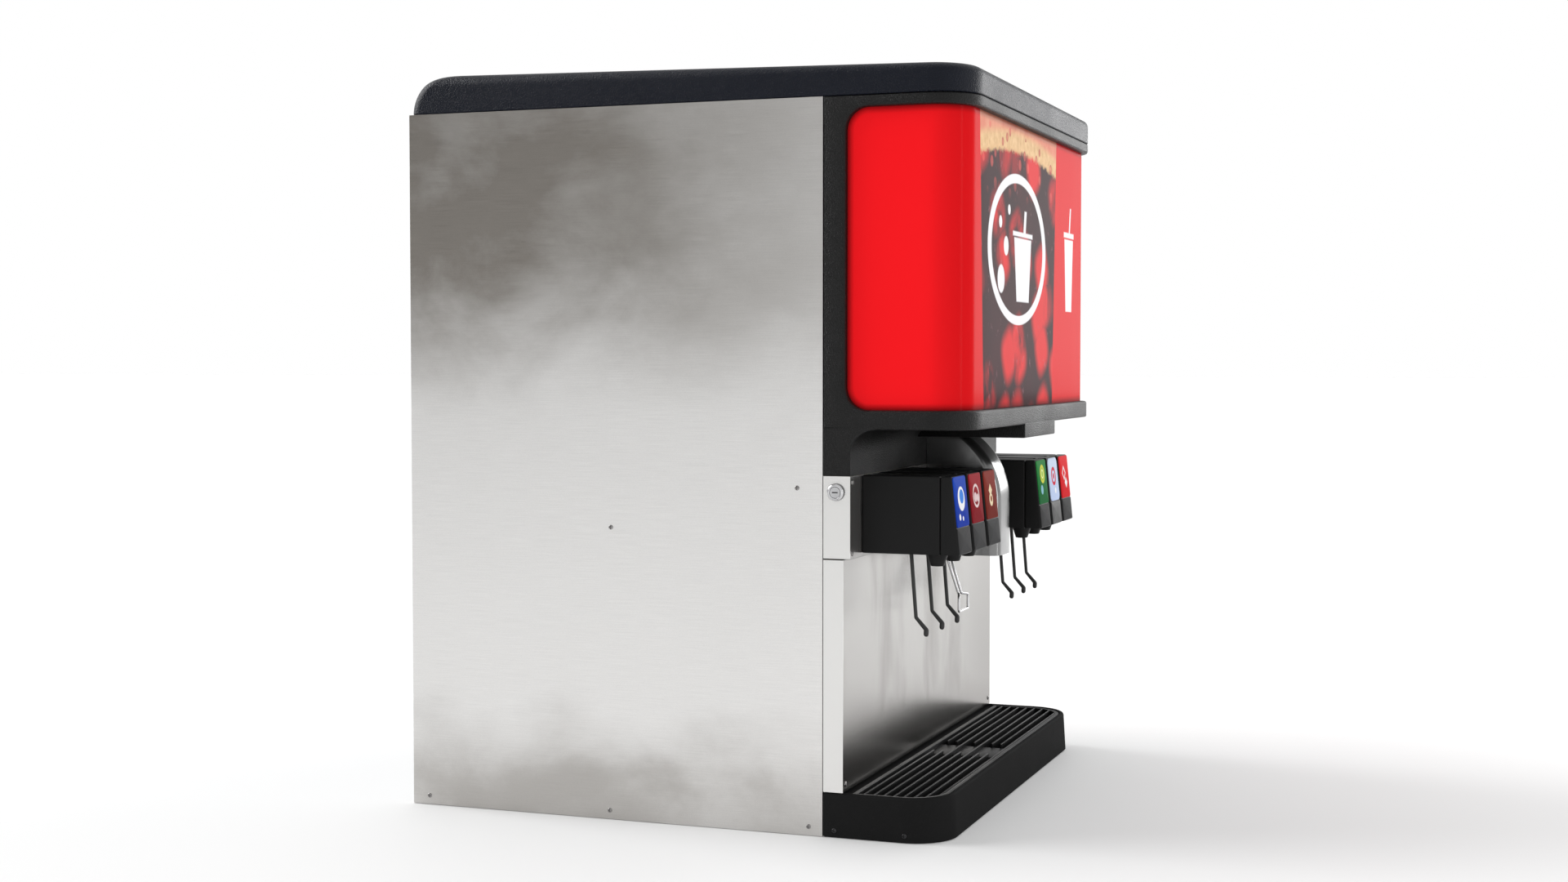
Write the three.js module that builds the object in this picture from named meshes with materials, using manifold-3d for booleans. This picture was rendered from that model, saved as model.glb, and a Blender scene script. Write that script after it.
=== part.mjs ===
// Fountain soda dispenser: a counter-top cabinet with an ice bin, an ice chute and six drink valves.
// Millimetres, +Z up. The front faces -Y, and -X is the left side as a customer sees it.
// The origin is on the counter, at the middle of the cabinet's width and of the overall depth.
import * as THREE from "three";
import { mergeVertices } from "three/addons/utils/BufferGeometryUtils.js";
import Module from "manifold-3d";

const wasm = await Module();
wasm.setup();

// ---- Driving dimensions ----------------------------------------------------------------------

const width = 635;
const cabinetDepth = 508; // front edge to rear edge of the side panels
const bezelReach = 165; // the lid and the merchandiser stand this far in front of the cabinet
const panelTop = 804; // top edge of the side panels
const lidRearHeight = 45;
const lidFrontHeight = 31;
const cornerRadius = 50; // front corners of the lid, merchandiser and drip tray, in plan
const sheet = 1.5; // stainless sheet
const gap = 0.3; // between pieces that meet
const seam = 0.8; // visible joint between the cabinet and what is fixed to its front
const groupOffset = 7.5; // the chute and valves stand right of centre, clear of the lock
const curveSteps = 8; // straight pieces in a quarter turn of a large radius

const half = width / 2;
const frontY = (bezelReach - cabinetDepth) / 2; // the cabinet's front plane
const rearY = frontY + cabinetDepth;
const ahead = (distance) => frontY - distance; // in front of the cabinet
const behind = (distance) => frontY + distance; // inside the cabinet

// ---- Materials -------------------------------------------------------------------------------

function finish(color, roughness, metalness = 0) {
  return new THREE.MeshStandardMaterial({ color, roughness, metalness });
}
const finishes = {
  stainless: finish(0xb9b6b1, 0.35, 1),
  galvanised: finish(0x9a9da0, 0.5, 1),
  aluminium: finish(0xc2c4c6, 0.45, 1),
  chrome: finish(0xd9d9dc, 0.12, 1),
  lidPlastic: finish(0x1b1f2a, 0.5),
  bezelPlastic: finish(0x232323, 0.5),
  coverPlastic: finish(0x161616, 0.4),
  trayPlastic: finish(0x1a1a1a, 0.45),
  leverPlastic: finish(0x303030, 0.45),
  signPlastic: finish(0xe3141b, 0.25),
  linerPlastic: finish(0xdadcd8, 0.5),
  foam: finish(0xd8c690, 0.9),
  wheelPlastic: finish(0xe6e4da, 0.5),
  whitePaint: finish(0xf1f1ee, 0.6),
  motorPaint: finish(0x3a3f45, 0.5),
  lampGlass: finish(0xf6f6f2, 0.3),
  rubber: finish(0x202020, 0.8),
};

// ---- Solid helpers ---------------------------------------------------------------------------

// A closed three.js geometry as a manifold-3d solid. Collapsed triangles at a lathe's axis are dropped.
function solid(geometry) {
  geometry.deleteAttribute("normal");
  geometry.deleteAttribute("uv");
  const merged = mergeVertices(geometry, 1e-4);
  const index = merged.index.array;
  const kept = [];
  for (let i = 0; i < index.length; i += 3) {
    const [a, b, c] = [index[i], index[i + 1], index[i + 2]];
    if (a !== b && b !== c && c !== a) kept.push(a, b, c);
  }
  return new wasm.Manifold(
    new wasm.Mesh({
      numProp: 3,
      vertProperties: merged.attributes.position.array,
      triVerts: new Uint32Array(kept),
    }),
  );
}

const join = (...solids) => solids.reduce((a, b) => a.add(b));
const cut = (from, ...tools) => tools.reduce((a, b) => a.subtract(b), from);

// A box between two values on each axis, given in either order.
function block(x0, x1, y0, y1, z0, z1) {
  const size = [Math.abs(x1 - x0), Math.abs(y1 - y0), Math.abs(z1 - z0)];
  const box = new THREE.BoxGeometry(...size);
  box.translate((x0 + x1) / 2, (y0 + y1) / 2, (z0 + z1) / 2);
  return solid(box);
}

// A cylinder or cone along one axis, from one value to another on that axis, at the other two.
function round(axis, from, to, [u, v], radius, sides = 16, endRadius = radius) {
  const shape = new THREE.CylinderGeometry(endRadius, radius, to - from, sides);
  const middle = (from + to) / 2;
  if (axis === "x") shape.rotateZ(-Math.PI / 2).translate(middle, u, v);
  if (axis === "y") shape.translate(u, middle, v);
  if (axis === "z") shape.rotateX(Math.PI / 2).translate(u, v, middle);
  return solid(shape);
}

function extrude(shape, depth) {
  return new THREE.ExtrudeGeometry(shape, { depth, bevelEnabled: false, curveSegments: curveSteps });
}

// A (y, z) outline carried along X.
function alongX(shape, x0, x1) {
  const turn = new THREE.Matrix4().set(0, 0, 1, x0, 1, 0, 0, 0, 0, 1, 0, 0, 0, 0, 0, 1);
  return solid(extrude(shape, x1 - x0).applyMatrix4(turn));
}

// An (x, y) outline carried up Z.
function alongZ(shape, z0, z1) {
  return solid(extrude(shape, z1 - z0).translate(0, 0, z0));
}

const outline = (points) => new THREE.Shape(points.map(([u, v]) => new THREE.Vector2(u, v)));

// The plan of the front pieces: full width, with both front corners rounded, taken in by an inset.
function frontPlan(reach, inset, rear = frontY) {
  const r = cornerRadius - inset;
  const [x, y] = [half - inset, ahead(reach) + inset];
  const plan = new THREE.Shape();
  plan.moveTo(x, rear);
  plan.lineTo(-x, rear);
  plan.lineTo(-x, y + r);
  plan.absarc(-x + r, y + r, r, Math.PI, 1.5 * Math.PI, false);
  plan.absarc(x - r, y + r, r, 1.5 * Math.PI, 2 * Math.PI, false);
  plan.lineTo(x, rear);
  return plan;
}

// A closed skin over rings of points. Each ring runs anticlockwise seen from above, lowest ring first.
function loft(rings) {
  const count = rings[0].length;
  const positions = rings.flat().flatMap((p) => [p.x, p.y, p.z]);
  const index = [];
  for (let k = 0; k + 1 < rings.length; k++) {
    for (let i = 0; i < count; i++) {
      const [a, b] = [k * count + i, k * count + ((i + 1) % count)];
      index.push(a, b, b + count, a, b + count, a + count);
    }
  }
  const flat = rings[0].map((p) => new THREE.Vector2(p.x, p.y));
  const top = (rings.length - 1) * count;
  for (const [a, b, c] of THREE.ShapeUtils.triangulateShape(flat, [])) {
    index.push(c, b, a, top + a, top + b, top + c);
  }
  const skin = new THREE.BufferGeometry();
  skin.setAttribute("position", new THREE.Float32BufferAttribute(positions, 3));
  skin.setIndex(index);
  return solid(skin);
}

// A round rod along a smooth curve through points.
function rod(points, radius, steps, sides = 8) {
  const curve = new THREE.CatmullRomCurve3(
    points.map((p) => new THREE.Vector3(...p)),
    false,
    "centripetal",
  );
  const section = new THREE.Shape();
  for (let i = 0; i < sides; i++) {
    const angle = (2 * Math.PI * i) / sides;
    const [u, v] = [radius * Math.cos(angle), radius * Math.sin(angle)];
    if (i === 0) section.moveTo(u, v);
    else section.lineTo(u, v);
  }
  const options = { steps, extrudePath: curve, bevelEnabled: false };
  return solid(new THREE.ExtrudeGeometry(section, options));
}

// A named mesh of one solid, in the frame of the group that it is added to.
function piece(name, body, material) {
  const made = body.getMesh();
  const geometry = new THREE.BufferGeometry();
  geometry.setAttribute("position", new THREE.Float32BufferAttribute(made.vertProperties, 3));
  geometry.setIndex([...made.triVerts]);
  geometry.computeVertexNormals();
  const mesh = new THREE.Mesh(geometry, material);
  mesh.name = name;
  return mesh;
}

const dispenser = new THREE.Group();
dispenser.name = "fountain_dispenser";

// ---- Cabinet: base pan, side panels, rear panel and the frame that carries the bin -----------

const returnWidth = 14; // folded edge of a side panel
const rearRecess = 8; // the rear panel stands inside the side panels' folded edges
const panFlange = 25;
const rearFace = rearY - rearRecess;

const drainHeight = 18;
const drainRadius = 9.5;

function sidePanel(side) {
  const [outer, inner, fold] = [side * half, side * (half - sheet), side * (half - returnWidth)];
  const plan = outline([
    [outer, frontY],
    [outer, rearY],
    [fold, rearY],
    [fold, rearY - sheet],
    [inner, rearY - sheet],
    [inner, frontY + sheet],
    [fold, frontY + sheet],
    [fold, frontY],
  ]);
  return alongZ(plan, 0, panelTop);
}

const insideX = half - sheet - gap;
const panFront = frontY + sheet + gap;
const panRear = rearFace - sheet - gap;

// The front flange is low, so that the drain passes over it.
const drainClearance = 1.5;
const panFrontFlange = drainHeight - drainRadius - drainClearance;

function basePan() {
  const floor = block(-insideX, insideX, panFront, panRear, 0, panFlange);
  const pocket = block(
    -insideX + sheet, insideX - sheet, panFront + sheet, panRear - sheet, sheet, panFlange + 1,
  );
  const overFlange = block(
    -insideX - 1, insideX + 1, panFront - 1, panFront + sheet + 1, panFrontFlange, panFlange + 1,
  );
  return cut(floor, pocket, overFlange);
}

const inlet = { x: 225, z: 90, flangeX: 27, flangeZ: 17, bodyX: 21, bodyZ: 12, depth: 24 };
const vent = { count: 7, length: 150, height: 5, pitch: 14, lowest: 130 };

function rearPanel() {
  let plate = block(-insideX, insideX, rearFace - sheet, rearFace, gap, panelTop - 1.5);
  for (const x of [-120, 120]) {
    for (let i = 0; i < vent.count; i++) {
      const z = vent.lowest + i * vent.pitch;
      const [x0, x1] = [x - vent.length / 2, x + vent.length / 2];
      plate = cut(plate, block(x0, x1, rearFace - 5, rearFace + 5, z, z + vent.height));
    }
  }
  const [bx, bz] = [inlet.bodyX + gap, inlet.bodyZ + gap];
  const hole = [inlet.x - bx, inlet.x + bx, rearFace - 5, rearFace + 5, inlet.z - bz, inlet.z + bz];
  return cut(plate, block(...hole));
}

function powerInlet() {
  const { x, z } = inlet;
  const [flangeFront, flangeRear] = [rearFace + gap, rearFace + gap + 3];
  const socket = { x: 12.5, z: 8.5, depth: 16 };
  const pinRoot = flangeRear - socket.depth;
  const flange = block(
    x - inlet.flangeX, x + inlet.flangeX, flangeFront, flangeRear, z - inlet.flangeZ, z + inlet.flangeZ,
  );
  const body = block(
    x - inlet.bodyX, x + inlet.bodyX, flangeRear - inlet.depth, flangeRear,
    z - inlet.bodyZ, z + inlet.bodyZ,
  );
  const mouth = block(x - socket.x, x + socket.x, pinRoot, flangeRear + 1, z - socket.z, z + socket.z);
  return cut(join(flange, body), mouth);
}

// The bin's insulation stands on this welded frame.
const foamBottom = 270;
const foamFront = behind(30);
const foamRear = behind(cabinetDepth - 12);
const foamX = half - sheet - 2;

function cradle() {
  const bar = 22;
  const [x, y0, y1] = [foamX - 12, foamFront + 10, foamRear - 10];
  const [bottom, top] = [sheet + gap, foamBottom - gap];
  const bars = [];
  for (const side of [-1, 1]) {
    for (const y of [y0, y1 - bar]) {
      bars.push(block(side * x, side * (x - bar), y, y + bar, bottom, top));
    }
    bars.push(block(side * x, side * (x - bar), y0, y1, top - bar, top));
  }
  for (const y of [y0, y1 - bar]) bars.push(block(-x, x, y, y + bar, top - bar, top));
  return join(...bars);
}

function controlBox() {
  const box = { x0: 60, x1: 250, y0: behind(360), y1: behind(455), height: 120 };
  return block(box.x0, box.x1, box.y0, box.y1, sheet + gap, box.height);
}

dispenser.add(
  piece("side_panel_left", sidePanel(-1), finishes.stainless),
  piece("side_panel_right", sidePanel(1), finishes.stainless),
  piece("base_pan", basePan(), finishes.galvanised),
  piece("rear_panel", rearPanel(), finishes.galvanised),
  piece("bin_cradle", cradle(), finishes.galvanised),
  piece("control_box", controlBox(), finishes.galvanised),
  piece("power_inlet", powerInlet(), finishes.coverPlastic),
);

// ---- Ice bin: insulation, liner, cold plate and the ice outlet --------------------------------

const foamTop = 796;
const foamWall = 25;
const linerWall = 3;
const linerFloor = 340; // underside of the liner, which rests on the cold plate
const rimThickness = 1.7;
const cavityX = foamX - foamWall;
const cavityFront = foamFront + foamWall;
const cavityRear = foamRear - foamWall;
const cavityFloor = linerFloor - 40;
const linerX = cavityX - gap;

const outlet = { halfWidth: 25, bottom: 432, top: 520 };
const wheel = { x: -110, z: 482, radius: 134, hub: 22, front: cavityFront + 6, depth: 58 };
const shaftRadius = 8;
const bushingRadius = 17;

const valveBase = 308.5; // underside of the valve bodies
const valveOffsets = [-259, -195, -131, 131, 195, 259]; // from the chute's centre
const syrupPort = valveBase + 42;
const sodaPort = valveBase + 17;
const tubeRadius = 4;

const outletHole = (y0, y1) =>
  block(groupOffset - outlet.halfWidth, groupOffset + outlet.halfWidth, y0, y1, outlet.bottom, outlet.top);
const shaftHole = (y0, y1) => round("y", y0, y1, [wheel.x, wheel.z], bushingRadius + gap, 20);

const plateHeight = linerFloor - gap - cavityFloor - gap;
const tubeHeight = cavityFloor + plateHeight / 2;

function insulation() {
  let jacket = block(-foamX, foamX, foamFront, foamRear, foamBottom, foamTop);
  jacket = cut(
    jacket,
    block(-cavityX, cavityX, cavityFront, cavityRear, cavityFloor, foamTop + 1),
    outletHole(foamFront - 1, cavityFront + 1),
    shaftHole(foamFront - 1, cavityFront + 1),
  );
  for (const offset of valveOffsets) {
    const at = [groupOffset + offset, tubeHeight];
    jacket = cut(jacket, round("y", foamFront - 1, cavityFront + 1, at, tubeRadius + 2, 10));
  }
  return jacket;
}

function liner() {
  const rimX = foamX - 1;
  const [y0, y1] = [cavityFront + gap, cavityRear - gap];
  const top = foamTop + gap + rimThickness;
  const tub = join(
    block(-linerX, linerX, y0, y1, linerFloor, top),
    block(-rimX, rimX, foamFront + 1, foamRear - 1, foamTop + gap, top),
  );
  return cut(
    tub,
    block(
      -linerX + linerWall, linerX - linerWall, y0 + linerWall, y1 - linerWall,
      linerFloor + linerWall, top + 1,
    ),
    outletHole(y0 - 1, y0 + linerWall + 1),
    shaftHole(y0 - 1, y0 + linerWall + 1),
  );
}

// An aluminium casting over coils of steel tube. One tube leaves it for each valve.
function coldPlate() {
  const [x, y0, y1] = [cavityX - 8, cavityFront + 35, cavityRear - 33];
  const bottom = cavityFloor + gap;
  let casting = block(-x, x, y0, y1, bottom, bottom + plateHeight - gap);
  for (const offset of valveOffsets) {
    const tx = groupOffset + offset;
    const run = [
      [tx, y0 + 5, tubeHeight],
      [tx, foamFront + 5, tubeHeight],
      [tx, behind(5), tubeHeight + 8],
      [tx, ahead(12), syrupPort - 6],
      [tx, ahead(22), syrupPort],
      [tx, ahead(valvePanelReach), syrupPort],
    ];
    casting = join(casting, rod(run, tubeRadius, 9, 6));
  }
  return casting;
}

// ---- Front of the cabinet: valve panel with the lock, and the splash panel -------------------

const valvePanelReach = 31.5;
const valvePanelBottom = 304.4;
const valvePanelTop = 394.3;
const splashReach = 23.5;
const trayTop = 49;
const flangeDepth = 15; // folded top and bottom edges of the valve panel
const lock = { ahead: 15.4, z: 377, headRadius: 9.6, bodyRadius: 8, plugRadius: 6, headDepth: 4.5 };
const chute = { halfWidth: 31, outerHalf: 27, wall: 2, bottom: 285 };

// A flat front with both sides folded back to the cabinet.
function foldedFront(reach, bottom, top) {
  const [back, outer, inner] = [ahead(seam), ahead(reach), ahead(reach - sheet)];
  const plan = outline([
    [-half, back],
    [-half, outer],
    [half, outer],
    [half, back],
    [half - sheet, back],
    [half - sheet, inner],
    [-half + sheet, inner],
    [-half + sheet, back],
  ]);
  return alongZ(plan, bottom, top);
}

function valvePanel() {
  const [outerY, foldY] = [ahead(valvePanelReach), ahead(valvePanelReach - flangeDepth)];
  const [x, back] = [half - sheet, ahead(seam)];
  const [z0, z1] = [valvePanelBottom, valvePanelTop];
  const opening = chute.outerHalf + 1;
  let panel = cut(
    block(-half, half, outerY, back, z0, z1),
    block(-x, x, outerY + sheet, back + 1, z0 + sheet, z1 - sheet),
    block(-x, x, foldY, back + 1, z0 - 1, z1 + 1),
    block(
      groupOffset - opening, groupOffset + opening, outerY - 1, ahead(5),
      chute.bottom + 62, valvePanelTop + 1,
    ),
    round("x", -half - 1, -half + 5, [ahead(lock.ahead), lock.z], lock.bodyRadius + gap),
  );
  for (const offset of valveOffsets) {
    for (const z of [syrupPort, sodaPort]) {
      const at = [groupOffset + offset, z];
      panel = cut(panel, round("y", outerY - 1, outerY + 5, at, tubeRadius + 1, 10));
    }
  }
  return panel;
}

function lockBarrel() {
  const at = [ahead(lock.ahead), lock.z];
  const head = -half - gap;
  return cut(
    join(
      round("x", head - lock.headDepth, head, at, lock.headRadius, 24),
      round("x", head - 1, -half + 17, at, lock.bodyRadius, 16),
    ),
    round("x", head - lock.headDepth - 1, -half + 18, at, lock.plugRadius + gap, 20),
  );
}

// The key turns the plug, and the cam behind it works the switch.
function lockPlug() {
  const [y, z] = [ahead(lock.ahead), lock.z];
  const face = -half - gap - lock.headDepth + 0.6;
  const camX = -half + 17.5;
  const keyway = block(face - 1, face + 3, y - 3.2, y + 3.2, z - 0.6, z + 0.6);
  const plug = cut(round("x", face, camX + 1, [y, z], lock.plugRadius, 20), keyway);
  return join(plug, block(camX, camX + 2.5, y - 4.5, y + 4.5, z - 5, z + 12));
}

// Carbonated water runs along the back of the valve panel, with a stub to each valve.
function sodaManifold() {
  const y = ahead(12);
  const [x0, x1] = [groupOffset + valveOffsets[0] - 14, groupOffset + valveOffsets[5] + 14];
  let pipe = round("x", x0, x1, [y, sodaPort], 5, 12);
  for (const offset of valveOffsets) {
    const stub = round("y", ahead(valvePanelReach), y, [groupOffset + offset, sodaPort], tubeRadius, 8);
    pipe = join(pipe, stub);
  }
  return pipe;
}

dispenser.add(
  piece("bin_insulation", insulation(), finishes.foam),
  piece("bin_liner", liner(), finishes.linerPlastic),
  piece("cold_plate", coldPlate(), finishes.aluminium),
  piece("valve_panel", valvePanel(), finishes.stainless),
  piece("splash_panel", foldedFront(splashReach, trayTop + 0.5, valvePanelBottom - seam), finishes.stainless),
  piece("soda_manifold", sodaManifold(), finishes.stainless),
  piece("lock_barrel", lockBarrel(), finishes.chrome),
  piece("lock_plug", lockPlug(), finishes.chrome),
);

// ---- Ice drive: gear motor, shaft, paddle wheel and agitator ----------------------------------

const motor = { halfX: 44, halfZ: 38, front: ahead(30), canRadius: 30, canLength: 86 };

function gearMotor() {
  const rear = foamFront - gap;
  const box = block(
    wheel.x - motor.halfX, wheel.x + motor.halfX, motor.front, rear,
    wheel.z - motor.halfZ, wheel.z + motor.halfZ,
  );
  const canEnd = wheel.x - motor.halfX - motor.canLength;
  const can = round("x", canEnd, wheel.x - motor.halfX + 1, [(motor.front + rear) / 2, wheel.z], motor.canRadius, 20);
  const bore = round("y", behind(-5), rear + 1, [wheel.x, wheel.z], shaftRadius + gap);
  return cut(join(box, can), bore);
}

function bushing() {
  const [y0, y1] = [foamFront + gap, wheel.front - 1.5];
  const at = [wheel.x, wheel.z];
  return cut(
    round("y", y0, y1, at, bushingRadius, 20),
    round("y", y0 - 1, y1 + 1, at, shaftRadius + gap, 16),
  );
}

const armY = behind(300);
const armRodRadius = 5;

function paddleWheel() {
  const { x, z, radius, hub, front, depth } = wheel;
  const back = front + depth;
  const at = [x, z];
  let body = join(
    round("y", front, back, at, hub, 20),
    round("y", back - 3, back, at, radius, 32),
  );
  const paddles = 8;
  for (let i = 0; i < paddles; i++) {
    const blade = new THREE.BoxGeometry(radius - hub + 4, depth, 4);
    blade.translate((radius + hub) / 2 - 3, 0, 0).rotateY((2 * Math.PI * i) / paddles);
    body = join(body, solid(blade.translate(x, (front + back) / 2, z)));
  }
  return cut(body, round("y", front - 1, back + 1, at, shaftRadius + gap, 16));
}

function agitatorArm() {
  const { x, z, radius } = wheel;
  const tip = radius - 12;
  const collar = round("y", armY - 12, armY + 12, [x, z], 14, 16);
  const bar = rod(
    [
      [x - tip, armY + 45, z],
      [x - tip, armY + 12, z],
      [x - tip + 15, armY, z],
      [x, armY, z],
      [x + tip - 15, armY, z],
      [x + tip, armY - 12, z],
      [x + tip, armY - 45, z],
    ],
    armRodRadius,
    20,
  );
  return cut(join(collar, bar), round("y", armY - 14, armY + 14, [x, z], shaftRadius + gap, 16));
}

dispenser.add(
  piece("gear_motor", gearMotor(), finishes.motorPaint),
  piece("shaft_bushing", bushing(), finishes.rubber),
  piece(
    "agitator_shaft",
    round("y", behind(0), armY + 20, [wheel.x, wheel.z], shaftRadius, 16),
    finishes.stainless,
  ),
  piece("paddle_wheel", paddleWheel(), finishes.wheelPlastic),
  piece("agitator_arm", agitatorArm(), finishes.stainless),
);

// ---- Ice chute: gate with its solenoid, duct, cover and push lever ----------------------------

const gateY = { front: behind(21), rear: behind(23) };
const gateTravel = 40;
const plungerRadius = 5;
const gateTop = outlet.top + 4;
const solenoid = { bottom: gateTop + gateTravel + 6, height: 60, half: 20 };

function iceGate() {
  const side = outlet.halfWidth + 3;
  return block(groupOffset - side, groupOffset + side, gateY.front, gateY.rear, outlet.bottom - 4, gateTop);
}

const plungerY = (gateY.front + gateY.rear) / 2;
const plungerTop = solenoid.bottom + 14;

function gateSolenoid() {
  const rear = foamFront - gap;
  const { bottom, height, half: h } = solenoid;
  const coil = block(groupOffset - h, groupOffset + h, rear - 2 * h, rear, bottom, bottom + height);
  const bore = round("z", bottom - 1, bottom + height + 1, [groupOffset, plungerY], plungerRadius + gap);
  return cut(coil, bore);
}

// The duct drops from the gate, passes through the front wall and ends over the cup.
const duct = {
  rear: behind(18),
  shaftFront: ahead(20),
  roof: 424,
  front: ahead(113),
  heel: ahead(52),
};

// The duct's outline, taken in by an inset. The mouth and the gate side are opened by the inner one.
function ductOutline(inset, overrun) {
  const { rear, shaftFront, roof, front, heel } = duct;
  return outline([
    [rear + overrun, gateTop - inset],
    [shaftFront + inset, gateTop - inset],
    [shaftFront + inset, roof - inset],
    [ahead(80), roof - inset],
    [ahead(99) + inset, roof - 22],
    [front + inset, roof - 54],
    [front + inset, chute.bottom - overrun],
    [heel - inset, chute.bottom - overrun],
    [heel - inset, chute.bottom + 58 + inset],
    [rear + overrun, outlet.bottom - 4 + inset],
  ]);
}

function iceChute() {
  const { outerHalf, wall } = chute;
  const shell = alongX(ductOutline(0, 0), groupOffset - outerHalf, groupOffset + outerHalf);
  const inner = outerHalf - wall;
  return cut(shell, alongX(ductOutline(wall, 5), groupOffset - inner, groupOffset + inner));
}

// The chute cover: a narrow hood of steel sheet whose front rolls back at the top.
const hood = {
  reach: 122,
  springZ: 352,
  rollRadius: 92,
  rounding: 12,
  top: 428.7,
  notchReach: 35,
  notchZ: 416,
};

function hoodSolid(inset, rearOverrun, bottom, top) {
  const r = hood.rollRadius - inset;
  const rear = ahead(valvePanelReach + gap) + rearOverrun;
  const front = ahead(hood.reach) + inset;
  const side = new THREE.Shape();
  side.moveTo(frontY, bottom);
  side.lineTo(front, bottom);
  side.lineTo(front, hood.springZ);
  side.absarc(front + r, hood.springZ, r, Math.PI, Math.PI / 2, true);
  side.lineTo(frontY, hood.springZ + r);
  side.lineTo(frontY, bottom);
  const [x, c] = [chute.halfWidth - inset, Math.max(hood.rounding - inset, 1)];
  const plan = new THREE.Shape();
  plan.moveTo(x, rear);
  plan.lineTo(-x, rear);
  plan.lineTo(-x, front + c);
  plan.absarc(-x + c, front + c, c, Math.PI, 1.5 * Math.PI, false);
  plan.absarc(x - c, front + c, c, 1.5 * Math.PI, 2 * Math.PI, false);
  plan.lineTo(x, rear);
  const body = alongX(side, -x - 1, x + 1).intersect(alongZ(plan, bottom, top));
  return body.translate([groupOffset, 0, 0]);
}

function chuteCover() {
  const coveNotch = block(-half, half, ahead(hood.notchReach), frontY, hood.notchZ, hood.top + 6);
  return cut(
    hoodSolid(0, 0, chute.bottom, hood.top),
    hoodSolid(sheet, 5, chute.bottom - 5, hood.top + 5),
    coveNotch,
  );
}

// A bent wire: two legs hang from a cross rod behind the mouth and spread into a square pad.
const iceLever = { pivotY: ahead(40.5), pivotZ: 312, wire: 1.6, legHalf: 9, neckHalf: 6, padHalf: 21 };

function iceLeverWire() {
  const { pivotY, pivotZ, wire, legHalf, neckHalf, padHalf } = iceLever;
  const neck = { y: ahead(67), z: 234 };
  const pad = { y: ahead(73), top: 233, bottom: 215 };
  const parts = [round("x", -28, 28, [pivotY, pivotZ], wire, 8)];
  for (const s of [-1, 1]) {
    parts.push(
      rod([[s * legHalf, pivotY, pivotZ], [s * neckHalf, neck.y, neck.z]], wire, 2),
      rod([[s * neckHalf, neck.y + 1, neck.z + 1], [s * neckHalf, pad.y, pad.top]], wire, 2),
      round("z", pad.bottom - 1.2, pad.top + 1.2, [s * padHalf, pad.y], wire, 10),
    );
  }
  parts.push(
    round("x", -padHalf - 1, padHalf + 1, [pad.y, pad.top], wire, 8),
    round("x", -padHalf - 1, padHalf + 1, [pad.y, pad.bottom], wire, 8),
  );
  return join(...parts).translate([groupOffset, 0, 0]);
}

dispenser.add(
  piece("ice_gate", iceGate(), finishes.stainless),
  piece(
    "gate_plunger",
    round("z", gateTop + gap, plungerTop, [groupOffset, plungerY], plungerRadius, 12),
    finishes.stainless,
  ),
  piece("gate_solenoid", gateSolenoid(), finishes.motorPaint),
  piece("ice_chute", iceChute(), finishes.linerPlastic),
  piece("chute_cover", chuteCover(), finishes.stainless),
  piece("ice_lever", iceLeverWire(), finishes.chrome),
);

// ---- Merchandiser: housing, sign panel, light box ---------------------------------------------

const bezel = {
  wall: 8,
  bottom: valvePanelTop + gap,
  ledgeBottom: 445,
  coveRadius: 28,
  windowBottom: 466,
  windowTop: 791.5,
  windowRear: 25.4,
  windowCorner: 25,
  top: panelTop - gap,
};
const canopy = { halfWidth: 78.5, rear: 32.6, bottom: hood.top + gap };

// The side view of the housing, or of its hollow: a wall, a cove and the ledge that stands forward.
function bezelSide(inset, bottom, top, rear) {
  const centre = ahead(valvePanelReach + bezel.coveRadius);
  const springZ = bezel.ledgeBottom - bezel.coveRadius;
  const r = bezel.coveRadius + inset;
  const side = new THREE.Shape();
  side.moveTo(rear, bottom);
  side.lineTo(centre + r, bottom);
  side.lineTo(centre + r, springZ);
  side.absarc(centre, springZ, r, 0, Math.PI / 2, false);
  side.lineTo(ahead(bezelReach - inset), springZ + r);
  side.lineTo(ahead(bezelReach - inset), top);
  side.lineTo(rear, top);
  side.lineTo(rear, bottom);
  return side;
}

function windowOutline() {
  const { windowBottom: z0, windowTop: z1, windowCorner: r } = bezel;
  const rear = ahead(bezel.windowRear);
  const front = ahead(bezelReach + 20);
  const shape = new THREE.Shape();
  shape.moveTo(front, z0);
  shape.lineTo(rear - r, z0);
  shape.absarc(rear - r, z0 + r, r, -Math.PI / 2, 0, false);
  shape.absarc(rear - r, z1 - r, r, 0, Math.PI / 2, false);
  shape.lineTo(front, z1);
  shape.lineTo(front, z0);
  return shape;
}

function merchandiserHousing() {
  const { wall, bottom, ledgeBottom, top } = bezel;
  const back = ahead(seam);
  const opening = chute.outerHalf + 1;
  const outer = alongX(bezelSide(0, bottom, top, back), -half, half).intersect(
    alongZ(frontPlan(bezelReach, 0, back), bottom - 1, top + 1),
  );
  const hollow = alongX(
    bezelSide(wall, bottom - 5, top - wall, back + 5), -half + wall, half - wall,
  ).intersect(alongZ(frontPlan(bezelReach, wall, back + 5), bottom - 6, top));
  const step = block(
    groupOffset - canopy.halfWidth, groupOffset + canopy.halfWidth,
    ahead(bezelReach), ahead(canopy.rear), canopy.bottom, ledgeBottom + 1,
  );
  const passage = block(
    groupOffset - opening, groupOffset + opening, ahead(61), back + 1, bottom - 1, duct.roof + 1.5,
  );
  return cut(join(cut(outer, hollow), step), alongX(windowOutline(), -half - 5, half + 5), passage);
}

const sign = { inset: bezel.wall + gap, thickness: 3, rear: 18 };
const boxBack = { reach: 45, bottom: 456, top: bezel.top - bezel.wall - gap };
const lamp = { radius: 13, reach: 100, z: 640, holderX: 262, holderWidth: 8 };

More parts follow.
